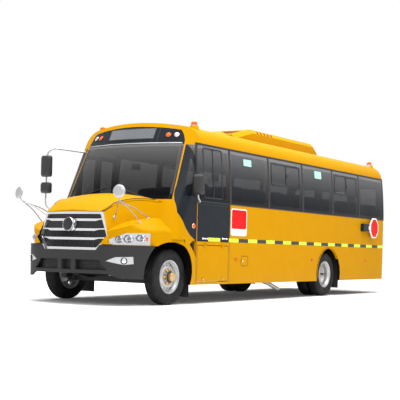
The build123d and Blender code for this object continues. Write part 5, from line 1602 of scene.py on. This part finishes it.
@dataclass
class FrontTrim:
    """Visor, windscreen seal, grille, lamps and the lines of the nose."""

    shop: Workshop
    display_half: float = 0.45
    display_rise: Flat = (2.60, 2.78)
    divider_x: float = 0.52
    divider_rise: Flat = (2.555, 2.770)
    pale_line: Flat = (0.93, 2.527)
    visor_lamps: tuple[tuple[float, int], ...] = ((0.68, 0), (0.81, 2))
    visor_lamp_z: float = 2.66
    seal_inset: float = 0.972
    seal_levels: tuple[float, ...] = (1.70, 1.9, 2.1, 2.3, 2.48)
    boss_z: float = 1.187
    boss_seat_z: float = 1.130
    slat_rows: tuple[Point, ...] = (
        (0.850, 0.950, 0.44), (1.002, 1.085, 0.50), (1.135, 1.230, 0.50), (1.280, 1.350, 0.42)
    )
    slat_pitch: float = 0.04
    lenses: tuple[Point, ...] = ((0.812, 0.975, 0.052), (0.920, 0.985, 0.056), (1.035, 1.000, 0.048))
    reflector: Flat = (1.088, 0.985)
    fog_lamp: Flat = (0.905, 0.662)
    hood_run: Flat = (-0.99, -0.09)
    hood_steps: int = 24
    flare_run: Flat = (0.175, 0.485)
    flare_rise: Flat = (1.006, 0.925)
    flare_steps: int = 10
    backing_half: float = 0.82
    backing_rise: Flat = (0.505, 0.695)
    bumper_face_z: float = 0.740
    backing_depth: float = 0.085
    rib_half: float = 0.52
    rib_rise: Flat = (0.530, 0.536)
    rib_pitch: float = 0.026

    def face_line(self, points: Sequence[Flat], steps: int = 8) -> list[Spot]:
        """Spots on the cab's face along a line.

        Args:
            points: the line's (x, z) corners.
            steps: spots from one corner to the next.

        Returns:
            The spots, the last corner's among them.
        """
        spots = []
        for (x0, z0), (x1, z1) in zip(points, points[1:]):
            for step in range(steps):
                turn = step / steps
                spots.append(self.shop.ahead(x0 + (x1 - x0) * turn, z0 + (z1 - z0) * turn))
        spots.append(self.shop.ahead(*points[-1]))
        return spots

    def visor(self) -> None:
        """Blank display, its dark outline, dividers, the pale line below and the four lamps."""
        shop, half, (low, high) = self.shop, self.display_half, self.display_rise
        show = Builder()
        columns = [half * (index / 12 - 1) for index in range(25)]
        rows = [low + (high - low) * index / 5 for index in range(6)]
        show.sheet([[shop.ahead(x, z) for x in columns] for z in rows], (-0.003, 0.004))
        shop.place(show, "visor_display", ["display_grey"], "dark_panel")
        lines = Builder()
        corners = ((-half, low), (half, low), (half, high), (-half, high), (-half, low))
        lines.ribbon(self.face_line(corners, 16)[:-1], 0.014, (-0.003, 0.006), 0, closed=True)
        for sign in SIGNS:
            ends = [(sign * self.divider_x, z) for z in self.divider_rise]
            lines.ribbon(self.face_line(ends), 0.006, (-0.003, 0.002), 0)
        reach, level = self.pale_line
        lines.ribbon(self.face_line(((-reach, level), (reach, level)), 40), 0.016, (-0.003, 0.005), 1)
        shop.place(lines, "visor_lines", ["seal_black", "satin_silver"], "dark_panel")
        lamps = Builder()
        for sign in SIGNS:
            for x, mark in self.visor_lamps:
                point, normal = shop.ahead(sign * x, self.visor_lamp_z)
                place = frame_at(point - 0.006 * normal, normal)
                lamps.lathe(dome(0.041, 0.014, 0.010), place, 28, mark)
                lamps.lathe(bezel(0.040, 0.054, 0.018), place, 28, 1)
        shop.place(lamps, "visor_lamps", ["amber_lens", "seal_black", "lamp_reflector"], "lamp_lens")

    def screen_seal(self) -> None:
        """Black seal down both sides of the windscreen."""
        seal = Builder()
        for sign in SIGNS:
            points = [(sign * self.seal_inset * SCREEN.half_at(z), z) for z in self.seal_levels]
            seal.ribbon(self.face_line(points, 4), 0.030, (-0.003, 0.004), 0)
        self.shop.place(seal, "windscreen_seal", ["seal_black"], "dark_panel")

    def boss(self) -> None:
        """Bright ring with a blank dark disc in the middle of the grille."""
        part = Builder()
        seat, _ = self.shop.front(("grille", "grille_mesh"), 0.0, self.boss_seat_z)
        place = frame_at((0.0, seat.y - 0.012, self.boss_z), (0, -1, 0.12))
        part.lathe(bezel(0.091, 0.104, 0.034), place, 48, 0)
        part.lathe(turned(0.0, [(0.093, 0.0), (0.093, 0.024), (0.070, 0.031)], 0.034), place, 48, 1)
        self.shop.place(part, "grille_boss", ["bright_chrome", "seal_black"], "chrome_trim")

    def slats(self) -> None:
        """Upright slats, repeated with Geometry Nodes, in each row whose ends have the mesh behind them."""
        fields = Builder()
        for low, high, half in self.slat_rows:
            starts = [(0, self.shop.far_ahead, z) for z in (low, high)]
            spots = [self.shop.meets(("grille_mesh",), start, (0, 1, 0)) for start in starts]
            if None in spots:
                continue
            y = min(spot[0].y for spot in spots)
            seed = Builder()
            seed.box((-half - 0.003, -half + 0.003), (y - 0.012, y + 0.004), (low, high))
            count = int(2 * half / self.slat_pitch)
            step = (2 * half / (count - 1), 0, 0)
            fields.absorb(self.shop.repeat(seed, count, step, (0, 0, 0), "dash_grain"))
        self.shop.place(fields, "grille_slats", ["dash_grain"], "dark_panel")

    def headlamps(self) -> None:
        """Dark domed lenses in bright bezels, and the small amber reflectors."""
        lamps = Builder()
        for sign in SIGNS:
            for x, z, radius in self.lenses:
                bottom, _ = self.shop.front(("front_lamps",), sign * x, z)
                place = frame_at(bottom + Vector((0, 0.002, 0)), (sign * 0.12, -1, 0.10))
                lamps.lathe(dome(radius * 0.80, 0.016, 0.006), place, 32, 0)
                lamps.lathe(bezel(radius * 0.80, radius * 0.97, 0.018), place, 32, 1)
            point, normal = self.shop.front(("front_lamps",), sign * self.reflector[0], self.reflector[1])
            place = frame_at(point - 0.002 * normal, normal)
            # The amber reflectors take amber_lens, and on them its glow is painted light
            lamps.prism(centred(0.028, 0.056, 0.008), (0.0, 0.007), place, 0.002, 2)
        self.shop.place(lamps, "headlamp_lenses", ["lamp_depth", "bright_chrome", "amber_lens"], "lamp_lens")

    def fog_lamps(self) -> None:
        """Round lenses and rings in the bumper's lamp recesses."""
        lamps = Builder()
        for sign in SIGNS:
            point, normal = self.shop.front(("front_lamps",), sign * self.fog_lamp[0], self.fog_lamp[1])
            place = frame_at(point - 0.003 * normal, normal)
            lamps.lathe(dome(0.038, 0.016, 0.010), place, 28, 0)
            lamps.lathe(bezel(0.037, 0.050, 0.020), place, 28, 1)
        self.shop.place(lamps, "fog_lamps", ["lamp_reflector", "seal_black"], "lamp_lens")

    def hood_edge(self, sign: int, y: float) -> Spot | None:
        """Outermost spot of the hood that still faces upwards.

        Args:
            sign: sign of X.
            y: place along the bus.

        Returns:
            The spot, or None where the hood has none.
        """
        edge = None
        for x in (0.40 + 0.005 * index for index in range(120)):
            spot = self.shop.meets(("hood",), (sign * x, y, self.shop.far_above), (0, 0, -1))
            if spot and spot[1].z > 0.35:
                edge = spot
        return edge

    def hood_line(self) -> None:
        """Dark shut line along both sides of the hood."""
        lines = Builder()
        start, end = self.hood_run
        last = self.hood_steps - 1
        for sign in SIGNS:
            edges = [self.hood_edge(sign, behind(start + (end - start) * i / last)) for i in range(last + 1)]
            lines.ribbon([edge for edge in edges if edge], 0.012, (-0.004, 0.0035), 0)
        self.shop.place(lines, "hood_shut_lines", ["seal_black"], "dark_panel", "hood_lid")

    def flare_fillet(self) -> None:
        """Yellow skin that carries the cowl's side down into the fender's flare."""
        skin = Builder()
        start, end = self.flare_run
        columns = [start + (end - start) * step / self.flare_steps for step in range(self.flare_steps + 1)]
        for side in Side:
            upper, lower = [[self.shop.beside(side, y, z) for y in columns] for z in self.flare_rise]
            rows = []
            for share in (0.0, 0.35, 0.7, 1.0):
                bow = 0.006 * math.sin(math.pi * share)
                rows.append([(a[0].lerp(b[0], share) + bow * b[1], b[1]) for a, b in zip(upper, lower)])
            skin.sheet(rows, (-0.003, 0.002))
        self.shop.place(skin, "flare_fillets", ["school_yellow"], "body_paint")

    def bumper_backing(self) -> None:
        """Dark ribbed panel behind the bumper's mouth."""
        panel = Builder()
        low, high = self.backing_rise
        rings = []
        for step in range(17):
            x = self.backing_half * (step / 8 - 1)
            back = self.shop.front(("front_bumper",), x, self.bumper_face_z)[0].y + self.backing_depth
            rings.append([(x, back, low), (x, back, high), (x, back + 0.006, high), (x, back + 0.006, low)])
        panel.loft(rings)
        seed = Builder()
        middle = self.shop.front(("front_bumper",), 0.0, self.bumper_face_z)[0].y + self.backing_depth
        seed.box((-self.rib_half, self.rib_half), (middle - 0.007, middle + 0.003), self.rib_rise)
        panel.absorb(self.shop.repeat(seed, 6, (0, 0, self.rib_pitch), (0, 0, 0), "seal_black"))
        self.shop.place(panel, "bumper_backing", ["seal_black"], "bumper_plastic")

    def build(self) -> None:
        """All front trim."""
        self.hood_line()
        self.flare_fillet()
        self.bumper_backing()
        self.visor()
        self.screen_seal()
        self.boss()
        self.slats()
        self.headlamps()
        self.fog_lamps()


@dataclass
class Mirrors:
    """Cross-view mirrors on the hood and side mirrors. Their places are (X, distance behind the axle, Z)."""

    shop: Workshop
    disc_place: Point = (0.970, -1.160, 1.660)
    elbow: Point = (0.960, -1.130, 1.560)
    hub: Point = (0.930, -1.090, 1.520)
    feet: tuple[Flat, ...] = ((0.640, -0.830), (0.905, -0.360), (0.960, -0.640))
    tube_radius: float = 0.008
    tall_post: tuple[Point, ...] = (
        (-1.030, 0.505, 2.440),
        (-1.285, -0.060, 2.470),
        (-1.330, -0.150, 2.390),
        (-1.330, -0.170, 1.600),
        (-1.200, -0.300, 1.520),
        (-0.930, -0.420, 1.370),
    )
    tall_heads: tuple[Flat, ...] = ((1.990, 2.340), (1.720, 1.900))
    driver_stem: tuple[Point, ...] = (
        (1.215, 0.505, 1.590),
        (1.330, 0.420, 1.590),
        (1.345, 0.330, 1.650),
        (1.345, 0.330, 1.780),
    )
    disc_back: tuple[Flat, ...] = (
        (0.088, -0.012), (0.0945, -0.004), (0.094, 0.006), (0.080, 0.018), (0.045, 0.0225)
    )

    def located(self, points: Sequence[Point], sign: int = 1) -> list[Point]:
        """Points in the bus's own frame, with X mirrored for a negative sign."""
        return [(sign * x, behind(distance), z) for x, distance, z in points]

    def bend(self, points: Sequence[Sequence[float]], radius: float, steps: int = 5) -> list[Point]:
        """Path with its corners rounded.

        Args:
            points: its corners.
            radius: how far from a corner its round starts, at most.
            steps: slices of each round.

        Returns:
            The path.
        """
        corners = [Vector(point) for point in points]
        path = [corners[0]]
        for before, here, after in zip(corners, corners[1:], corners[2:]):
            back, on = before - here, after - here
            reach = min(radius, back.length / 2, on.length / 2)
            start, end = here + back.normalized() * reach, here + on.normalized() * reach
            for step in range(steps + 1):
                t = step / steps
                path.append(start * (1 - t) ** 2 + here * 2 * t * (1 - t) + end * t**2)
        return [tuple(p) for p in [*path, corners[-1]]]

    def shell(self, builder: Builder, x: Flat, run: Flat, z: Flat) -> None:
        """Adds a rounded mirror head with its glass facing rearwards.

        Args:
            builder: collects the piece.
            x: its extent across the bus.
            run: its start and end behind the front axle.
            z: its lowest and highest Z.
        """
        middle = ((x[0] + x[1]) / 2, behind((run[0] + run[1]) / 2), (z[0] + z[1]) / 2)
        width, height, depth = x[1] - x[0], z[1] - z[0], run[1] - run[0]
        place = Matrix.Translation(middle) @ Matrix.Rotation(math.radians(90), 4, "X")
        rings = []
        for back, draw in ((-0.5, 0.004), (-0.42, 0.0), (0.10, 0.0), (0.36, 0.014), (0.5, 0.045)):
            outline = centred(width - 2 * draw, height - 2 * draw, 0.035)
            rings.append([place @ Vector((a, b, back * depth)) for a, b in outline])
        builder.loft(rings, 0)
        glass = centred(width - 0.024, height - 0.024, 0.028)
        rings = [[place @ Vector((a, b, back * depth)) for a, b in glass] for back in (-0.46, -0.515)]
        builder.loft(rings, 1)

    def cross_view(self, sign: int) -> Builder:
        """One round mirror with its bent tubes and oval feet.

        Args:
            sign: sign of X.

        Returns:
            The piece's parts.
        """
        part = Builder()
        centre, elbow, hub = self.located((self.disc_place, self.elbow, self.hub), sign)
        part.tube(self.bend((centre, elbow, hub), 0.02), self.tube_radius, 12, 1)
        foot = turned(-0.012, [(0.022, -0.012), (0.020, 0.004), (0.012, 0.012)], 0.014)
        for x, distance in self.feet:
            spot, normal = self.shop.above(("nose_shell", "hood"), sign * x, behind(distance))
            goal = spot + 0.010 * normal
            middle = [(a + b) / 2 + c for a, b, c in zip(hub, goal, (0, 0, 0.035))]
            part.tube(self.bend((hub, middle, goal), 0.10), self.tube_radius, 12, 1)
            oval = frame_at(spot, normal) @ Matrix.Diagonal((1.0, 1.45, 1.0, 1.0))
            part.lathe(foot, oval, 20, 0)
        part.lathe(dome(0.020, 0.018, 0.010), frame_at(hub, (0, 0, 1)), 16, 0)
        place = frame_at(centre, (sign * 0.25, -0.9, 0.10))
        part.lathe(turned(-0.012, self.disc_back, 0.0235), place, 40, 0)
        part.lathe(turned(-0.0165, [(0.070, -0.0150), (0.084, -0.0115)], -0.0112), place, 40, 2)
        return part

    def build(self) -> None:
        """All mirrors, in place of the plain ones."""
        for sign, label in zip(SIGNS, ("right", "left")):
            finishes = ["satin_silver", "tube_grey", "mirror_face"]
            self.shop.place(self.cross_view(sign), f"cross_view_mirror_{label}", finishes, "mirror_black")
        tall = Builder()
        tall.tube(self.bend(self.located(self.tall_post), 0.06), 0.0125, 14, 2)
        for rise in self.tall_heads:
            self.shell(tall, (-1.430, -1.230), (-0.215, -0.130), rise)
        finishes = ["mirror_housing", "mirror_face", "tube_grey"]
        self.shop.place(tall, "tall_mirror_right", finishes, "mirror_black")
        near = Builder()
        near.tube(self.bend(self.located(self.driver_stem), 0.04), 0.0115, 14, 2)
        self.shell(near, (1.250, 1.430), (0.290, 0.368), (1.700, 2.010))
        finishes = ["mirror_housing", "mirror_face", "satin_silver"]
        piece = self.shop.place(near, "driver_mirror_left", finishes, "mirror_black")
        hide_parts("mirrors")


@dataclass(frozen=True)
class WheelPlace:
    """One wheel position: its name, body, replaced node, sign of X, place, tyre centres and disc face."""

    name: str
    body: str
    tyres: str
    sign: int
    distance: float
    centres: tuple[float, ...]
    face: float


WHEELS = (
    WheelPlace("front_left", "front_left_wheel", "front_left_tyre", 1, 0.0, (0.985,), 1.047),
    WheelPlace("front_right", "front_right_wheel", "front_right_tyre", -1, 0.0, (0.985,), 1.047),
    WheelPlace("rear_left", "rear_left_wheels", "rear_left_tyres", 1, REAR_AXLE, (1.050, 0.800), 0.925),
    WheelPlace("rear_right", "rear_right_wheels", "rear_right_tyres", -1, REAR_AXLE, (1.050, 0.800), 0.925),
)


@dataclass
class Wheels:
    """Tyres with their tread, wheel nuts and hub trim.

    Sidewall points are (radius, depth from the tyre's edge), from the bead to the shoulder. Lug points are
    (depth below the crown, depth from the edge).
    """

    shop: Workshop
    radius: float = 0.428
    half: float = 0.107
    sidewall: tuple[Flat, ...] = (
        (0.254, 0.030), (0.270, 0.016), (0.292, 0.008), (0.302, 0.0035), (0.305, 0.006),
        (0.315, 0.0025), (0.342, 0.0005), (0.360, 0.0005), (0.363, 0.003), (0.366, 0.001),
        (0.386, 0.006), (0.400, 0.009), (0.408, 0.016), (0.416, 0.026), (0.425, 0.040),
    )
    grooves: tuple[float, ...] = (0.052, 0.018)
    groove_depth: float = 0.013
    lug: tuple[Flat, ...] = ((0.014, 0.026), (0.012, 0.058), (0.0012, 0.056), (0.0055, 0.030))
    lug_run: Flat = (-0.011, 0.009)
    lug_count: int = 44
    stud_radius: float = 0.111125
    stud_count: int = 6
    cap: tuple[Flat, ...] = (
        (0.0645, 0.030), (0.0665, 0.030), (0.0665, 0.084), (0.058, 0.0915),
        (POLE, 0.0925), (POLE, 0.0895), (0.056, 0.0895), (0.0645, 0.082),
    )
    hub_ring: tuple[Flat, ...] = (
        (0.0665, 0.034), (0.0865, 0.034), (0.0865, 0.041), (0.075, 0.046), (0.0665, 0.046)
    )
    bead_ring: Flat = (0.2405, 0.2535)
    bead_depth: Flat = (0.034, 0.0275)

    def profile(self) -> list[Flat]:
        """Tyre section with grooves and sidewall rings, from one bead to the other.

        Returns:
            The section as (radius, height).
        """
        half = [(r, self.half - depth) for r, depth in self.sidewall]
        floor = self.radius - self.groove_depth
        for groove in self.grooves:
            half += [(self.radius - 0.001, groove + 0.006), (floor, groove + 0.004), (floor, groove - 0.004)]
            half += [(self.radius, groove - 0.006)]
        return half + [(r, -h) for r, h in reversed(half)]

    def tyre(self, wheel: WheelPlace, centre: float) -> Builder:
        """One tyre with its turned carcass and repeated shoulder lugs.

        Args:
            wheel: the wheel position.
            centre: X of the tyre's middle, without its sign.

        Returns:
            The piece's parts.
        """
        part = Builder()
        place = frame_at((wheel.sign * centre, behind(wheel.distance), AXLE_Z), (wheel.sign, 0, 0))
        part.lathe(self.profile(), place, 72)
        seed = Builder()
        faces = ((0, 1, 3, 2), (2, 3, 5, 4), (4, 5, 7, 6), (6, 7, 1, 0), (0, 2, 4, 6), (1, 7, 5, 3))
        for out in SIGNS:
            verts = []
            for down, depth in self.lug:
                corner = (self.radius - down, out * (self.half - depth))
                verts += [(corner[0], along, corner[1]) for along in self.lug_run]
            seed.add(verts, faces)
        turn = (0, 0, math.tau / self.lug_count)
        part.absorb(self.shop.repeat(seed, self.lug_count, (0, 0, 0), turn, "tyre_rubber"), place)
        return part

    def nuts(self, wheel: WheelPlace) -> Builder:
        """Golden nuts, hub cap and the dark rings round the hub and the bead.

        Args:
            wheel: the wheel position.

        Returns:
            The piece's parts.
        """
        part = Builder()
        face = frame_at((wheel.sign * wheel.face, behind(wheel.distance), AXLE_Z), (wheel.sign, 0, 0))
        seed = Builder()
        spot = Matrix.Translation((self.stud_radius, 0, 0))
        seed.prism(regular(6, 0.0205, 0), (0.000, 0.026), spot, 0.004)
        seed.lathe(disc(0.029, 0.0, 0.004, 0.0005), spot, 20)
        seed.lathe(disc(0.0115, 0.024, 0.0275, 0.0015), spot, 16)
        turn = (0, 0, math.tau / self.stud_count)
        part.absorb(self.shop.repeat(seed, self.stud_count, (0, 0, 0), turn, "golden_zinc"), face)
        part.lathe(self.cap, face, 40)
        part.lathe(self.hub_ring, face, 40, 1)
        reach = self.half + wheel.centres[0] - wheel.face
        (inner, outer), (low, high) = self.bead_ring, [reach - depth for depth in self.bead_depth]
        part.lathe([(inner, low), (outer, low), (outer, high), (inner, high)], face, 56, 1)
        return part

    def build(self) -> None:
        """All wheels."""
        for wheel in WHEELS:
            for index, centre in enumerate(wheel.centres):
                name = f"{wheel.name}_tyre_{index + 1}"
                tyre = self.tyre(wheel, centre)
                self.shop.place(tyre, name, ["tyre_rubber"], "tyre_rubber", wheel.body, (wheel.tyres,), 28.0)
            finishes = ["golden_zinc", "seal_black"]
            self.shop.place(self.nuts(wheel), f"{wheel.name}_nuts", finishes, "wheel_steel", wheel.body)


@dataclass
class RoofTrim:
    """Beacons and the roof unit's louvres. The beacons' levels are heights above the road."""

    shop: Workshop
    beacon_places: tuple[float, ...] = (0.79, 7.90)
    beacon_x: float = 0.93
    pedestal: tuple[Flat, ...] = ((0.108, 2.690), (0.102, 2.735), (0.082, 2.795), (0.070, 2.830))
    collar: tuple[Flat, ...] = (
        (0.040, 2.829), (0.063, 2.829), (0.0645, 2.836), (0.063, 2.8445), (0.040, 2.846)
    )
    dome_z: float = 2.840
    dome_ribs: tuple[float, ...] = (0.012, 0.022, 0.032)
    louvre_depth: Flat = (-0.004, 0.004)

    def beacons(self) -> None:
        """Pedestals, silver rings and orange domes, in place of the plain ones."""
        lamps = Builder()
        for distance in self.beacon_places:
            for sign in SIGNS:
                place = frame_at((sign * self.beacon_x, behind(distance), 0.0), (0, 0, 1))
                lamps.lathe(turned(2.690, self.pedestal, 2.831), place, 32, 0)
                lamps.lathe(self.collar, place, 32, 1)
                base = place @ Matrix.Translation((0, 0, self.dome_z))
                lamps.lathe(dome(0.052, 0.030, 0.036), base, 32, 2)
                for level in self.dome_ribs:
                    rib = [(0.051, level), (0.0535, level + 0.002), (0.051, level + 0.004)]
                    lamps.lathe(rib, base, 32, 2)
        finishes = ["school_yellow", "satin_silver", "amber_lens"]
        self.shop.place(lamps, "roof_beacon_lamps", finishes, "amber_lens", replaced=("roof_beacons",))

    def louvre(self, start: Flat, shift: Flat, steps: int) -> list[Spot]:
        """Spots of one louvre on the roof unit.

        Args:
            start: X and distance behind the axle of its first end.
            shift: from there to its other end.
            steps: spots less one.

        Returns:
            The spots.
        """
        spots = []
        for step in range(steps + 1):
            x, distance = [a + b * step / steps for a, b in zip(start, shift)]
            spots.append(self.shop.above(("roof_ac_unit",), x, behind(distance)))
        return spots

    def louvres(self) -> None:
        """Slanted brown louvres on the roof unit's front slope and side."""
        cuts = Builder()
        for index in range(5):
            line = self.louvre((0.62, 2.47 + 0.080 * index), (-(0.16 + 0.07 * index), 0.05), 6)
            cuts.ribbon(line, 0.030, self.louvre_depth)
        for index in range(5):
            line = self.louvre((0.712, 3.20 + 0.13 * index), (0.042, -0.05), 3)
            cuts.ribbon(line, 0.040, self.louvre_depth)
        self.shop.place(cuts, "roof_unit_louvres", ["louvre_brown"], "body_paint")

    def build(self) -> None:
        """All roof trim."""
        self.beacons()
        self.louvres()


@dataclass
class Cabin:
    """Padded seats: rows of benches on both sides of the aisle, and the driver's."""

    shop: Workshop
    floor: float = 0.980
    box_floor: float = 1.018
    box_half: float = 0.560
    seat_height: float = 0.430
    rows: int = 9
    pitch: float = 0.730
    first_row: float = 0.560
    width: float = 0.900
    wall_gap: float = 0.030
    driver_x: float = 0.620
    driver_behind: float = -0.150
    driver_width: float = 0.500

    def bench(self, builder: Builder, x: float, y: float, width: float) -> None:
        """Adds one bench: padded cushion and back with sewn channels, and its legs.

        Args:
            builder: collects the piece.
            x: its middle across the bus.
            y: the line where cushion and back meet.
            width: its width.
        """
        top = self.floor + self.seat_height
        seams = (-0.33, 0.33) if width > self.driver_width else (0.0,)
        builder.pad((x, y - 0.210, top - 0.0475), (width, 0.420, 0.083), 0.012, seams, 2, 0, 9)
        builder.pad((x, y + 0.0430, top + 0.2525), (width, 0.070, 0.585), 0.014, seams, 1, 0, 9)
        for side in (-0.35, 0.35):
            lx = x + side * width
            on_box = abs(lx) > 0.6 and abs(y - 0.180 - behind(REAR_AXLE)) < self.box_half
            base = self.box_floor if on_box else self.floor
            for y0 in (y - 0.215, y - 0.145):
                builder.tube(((lx, y0, base + 0.004), (lx, y0, top - 0.085)), 0.013, 10, 1)
            builder.box((lx - 0.020, lx + 0.020), (y - 0.228, y - 0.132), (base + 0.001, base + 0.009), 1)

    def build(self) -> None:
        """All seats, in place of the plain ones."""
        seats = Builder()
        x = BODY.half_width - BODY.wall - self.wall_gap - self.width / 2
        cab_end = behind(BODY.cab_end)
        for row in range(self.rows):
            for sign in SIGNS:
                self.bench(seats, sign * x, cab_end + self.first_row + row * self.pitch, self.width)
        self.bench(seats, self.driver_x, cab_end + self.driver_behind, self.driver_width)
        finishes = ["seat_cover", "dull_steel"]
        old = ("seats",)
        self.shop.place(seats, "padded_seats", finishes, "seat_vinyl", replaced=old, sharp=60.0)


@dataclass
class StopSign:
    """Blank red octagon on the arm's white plate."""

    shop: Workshop
    place: Point = (1.3128, 7.371, 1.412)
    flat_half: float = 0.186
    depth: Flat = (-0.001, 0.0014)
    bevel: float = 0.0006

    def build(self) -> None:
        """The sign's red face."""
        sign = Builder()
        x, distance, z = self.place
        place = frame_at((x, behind(distance), z), (1, 0, 0))
        sign.prism(regular(8, self.flat_half, 22.5), self.depth, place, self.bevel)
        self.shop.place(sign, "stop_sign_face", ["red_film"], "sign_red", "stop_arm")


@dataclass(frozen=True)
class SoftLamp:
    """One soft square lamp, aimed at a point."""

    name: str
    place: Point
    aim: Point
    size: float
    energy: float

    def hang(self) -> None:
        """Adds the lamp to the scene."""
        data = bpy.data.lights.new(self.name, "AREA")
        data.size = self.size
        data.energy = self.energy
        lamp = bpy.data.objects.new(self.name, data)
        turn = (Vector(self.aim) - Vector(self.place)).to_track_quat("-Z", "Y").to_matrix().to_4x4()
        lamp.matrix_world = Matrix.Translation(self.place) @ turn
        bpy.context.scene.collection.objects.link(lamp)


@dataclass
class Studio:
    """Camera, lamps, floor and world. The sky is a pure white that lights the bus less than it shows."""

    eye: Point = (9.261, -15.267, 0.853)
    yaw: float = 32.995
    roll: float = 1.438
    focal_pixels: float = 942.29
    frame_pixels: float = 400.0
    axis_row: float = 249.79
    sensor: float = 36.0
    clip_end: float = 300.0
    floor_half: float = 60.0
    floor_near: float = 8.0
    floor_far: float = 15.0
    floor_shade: float = 0.9
    floor_glow: Flat = (0.04, 0.75)
    sky: float = 0.56
    mirrored_sky: float = 0.85
    lamps: tuple[SoftLamp, ...] = (
        SoftLamp("overhead", (1.0, -1.0, 12.0), (0.0, -1.0, 1.0), 14.0, 3700.0),
        SoftLamp("key", (7.0, -12.0, 11.0), (0.0, -2.0, 1.4), 9.0, 600.0),
    )

    def place_camera(self) -> None:
        """Camera at the photograph's viewpoint."""
        data = bpy.data.cameras.new("viewpoint")
        data.sensor_width = self.sensor
        data.lens = self.sensor * self.focal_pixels / self.frame_pixels
        data.shift_y = (self.axis_row - self.frame_pixels / 2) / self.frame_pixels
        data.clip_end = self.clip_end
        camera = bpy.data.objects.new("viewpoint", data)
        turn = Matrix.Rotation(math.radians(self.yaw), 4, "Z")
        tilt = Matrix.Rotation(math.radians(90.0), 4, "X")
        roll = Matrix.Rotation(math.radians(self.roll), 4, "Z")
        camera.matrix_world = Matrix.Translation(self.eye) @ turn @ tilt @ roll
        bpy.context.scene.collection.objects.link(camera)
        bpy.context.scene.camera = camera

    def light(self) -> None:
        """World and lamps."""
        world = bpy.data.worlds.new("studio")
        bpy.context.scene.world = world
        recipe = Recipe(world, "ShaderNodeOutputWorld")
        seen, clear, mirrored = [
            recipe.wire("ShaderNodeLightPath", output=f"Is {kind} Ray")
            for kind in ("Camera", "Transmission", "Glossy")
        ]
        level = self.sky + (1 - self.sky) * seen.larger(clear)
        strength = level + (self.mirrored_sky - level) * mirrored
        sockets = {"Color": (1.0, 1.0, 1.0, 1.0), "Strength": strength}
        recipe.surface(recipe.wire("ShaderNodeBackground", None, sockets))
        for lamp in self.lamps:
            lamp.hang()

    def lay_floor(self) -> None:
        """Pale floor that keeps the bus's shadow and fades into the background far off."""
        recipe = Recipe(bpy.data.materials.new("pale_floor"))
        seen = recipe.wire("ShaderNodeLightPath", output="Is Camera Ray")
        colour = (self.floor_shade, self.floor_shade, self.floor_shade, 1.0)
        plain = recipe.wire("ShaderNodeBsdfDiffuse", None, {"Color": colour})
        _, x, y, _ = recipe.position()
        reach = (x * x + y * y).ramp(self.floor_near**2, self.floor_far**2)
        glow = recipe.mix(reach, *[(level, level, level) for level in self.floor_glow])
        lift = recipe.wire("ShaderNodeEmission", None, {"Color": glow, "Strength": 1.0})
        both = recipe.wire("ShaderNodeAddShader", None, {0: plain, 1: lift})
        material = recipe.surface(recipe.wire("ShaderNodeMixShader", None, {0: seen, 1: plain, 2: both}))
        half = self.floor_half
        corners = [(-half, -half, 0), (half, -half, 0), (half, half, 0), (-half, half, 0)]
        mesh = bpy.data.meshes.new("studio_floor")
        mesh.from_pydata(corners, [], [(0, 1, 2, 3)])
        mesh.materials.append(material)
        floor = bpy.data.objects.new("studio_floor", mesh)
        bpy.context.scene.collection.objects.link(floor)

    def build(self) -> None:
        """Builds the whole studio."""
        self.place_camera()
        self.light()
        self.lay_floor()
        bpy.context.scene.view_settings.view_transform = "Standard"


def main() -> None:
    """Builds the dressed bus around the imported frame."""
    logging.basicConfig(level=logging.INFO, format="%(message)s")
    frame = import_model()
    shop = Workshop(frame)
    for node, finish in NODE_FINISHES.items():
        shop.paint(node, finish)
    for group in (BodyTrim, FrontTrim, Mirrors, Wheels, RoofTrim, Cabin, StopSign):
        group(shop).build()
    Studio().build()
    bpy.context.view_layer.update()


if __name__ == "__main__":
    main()
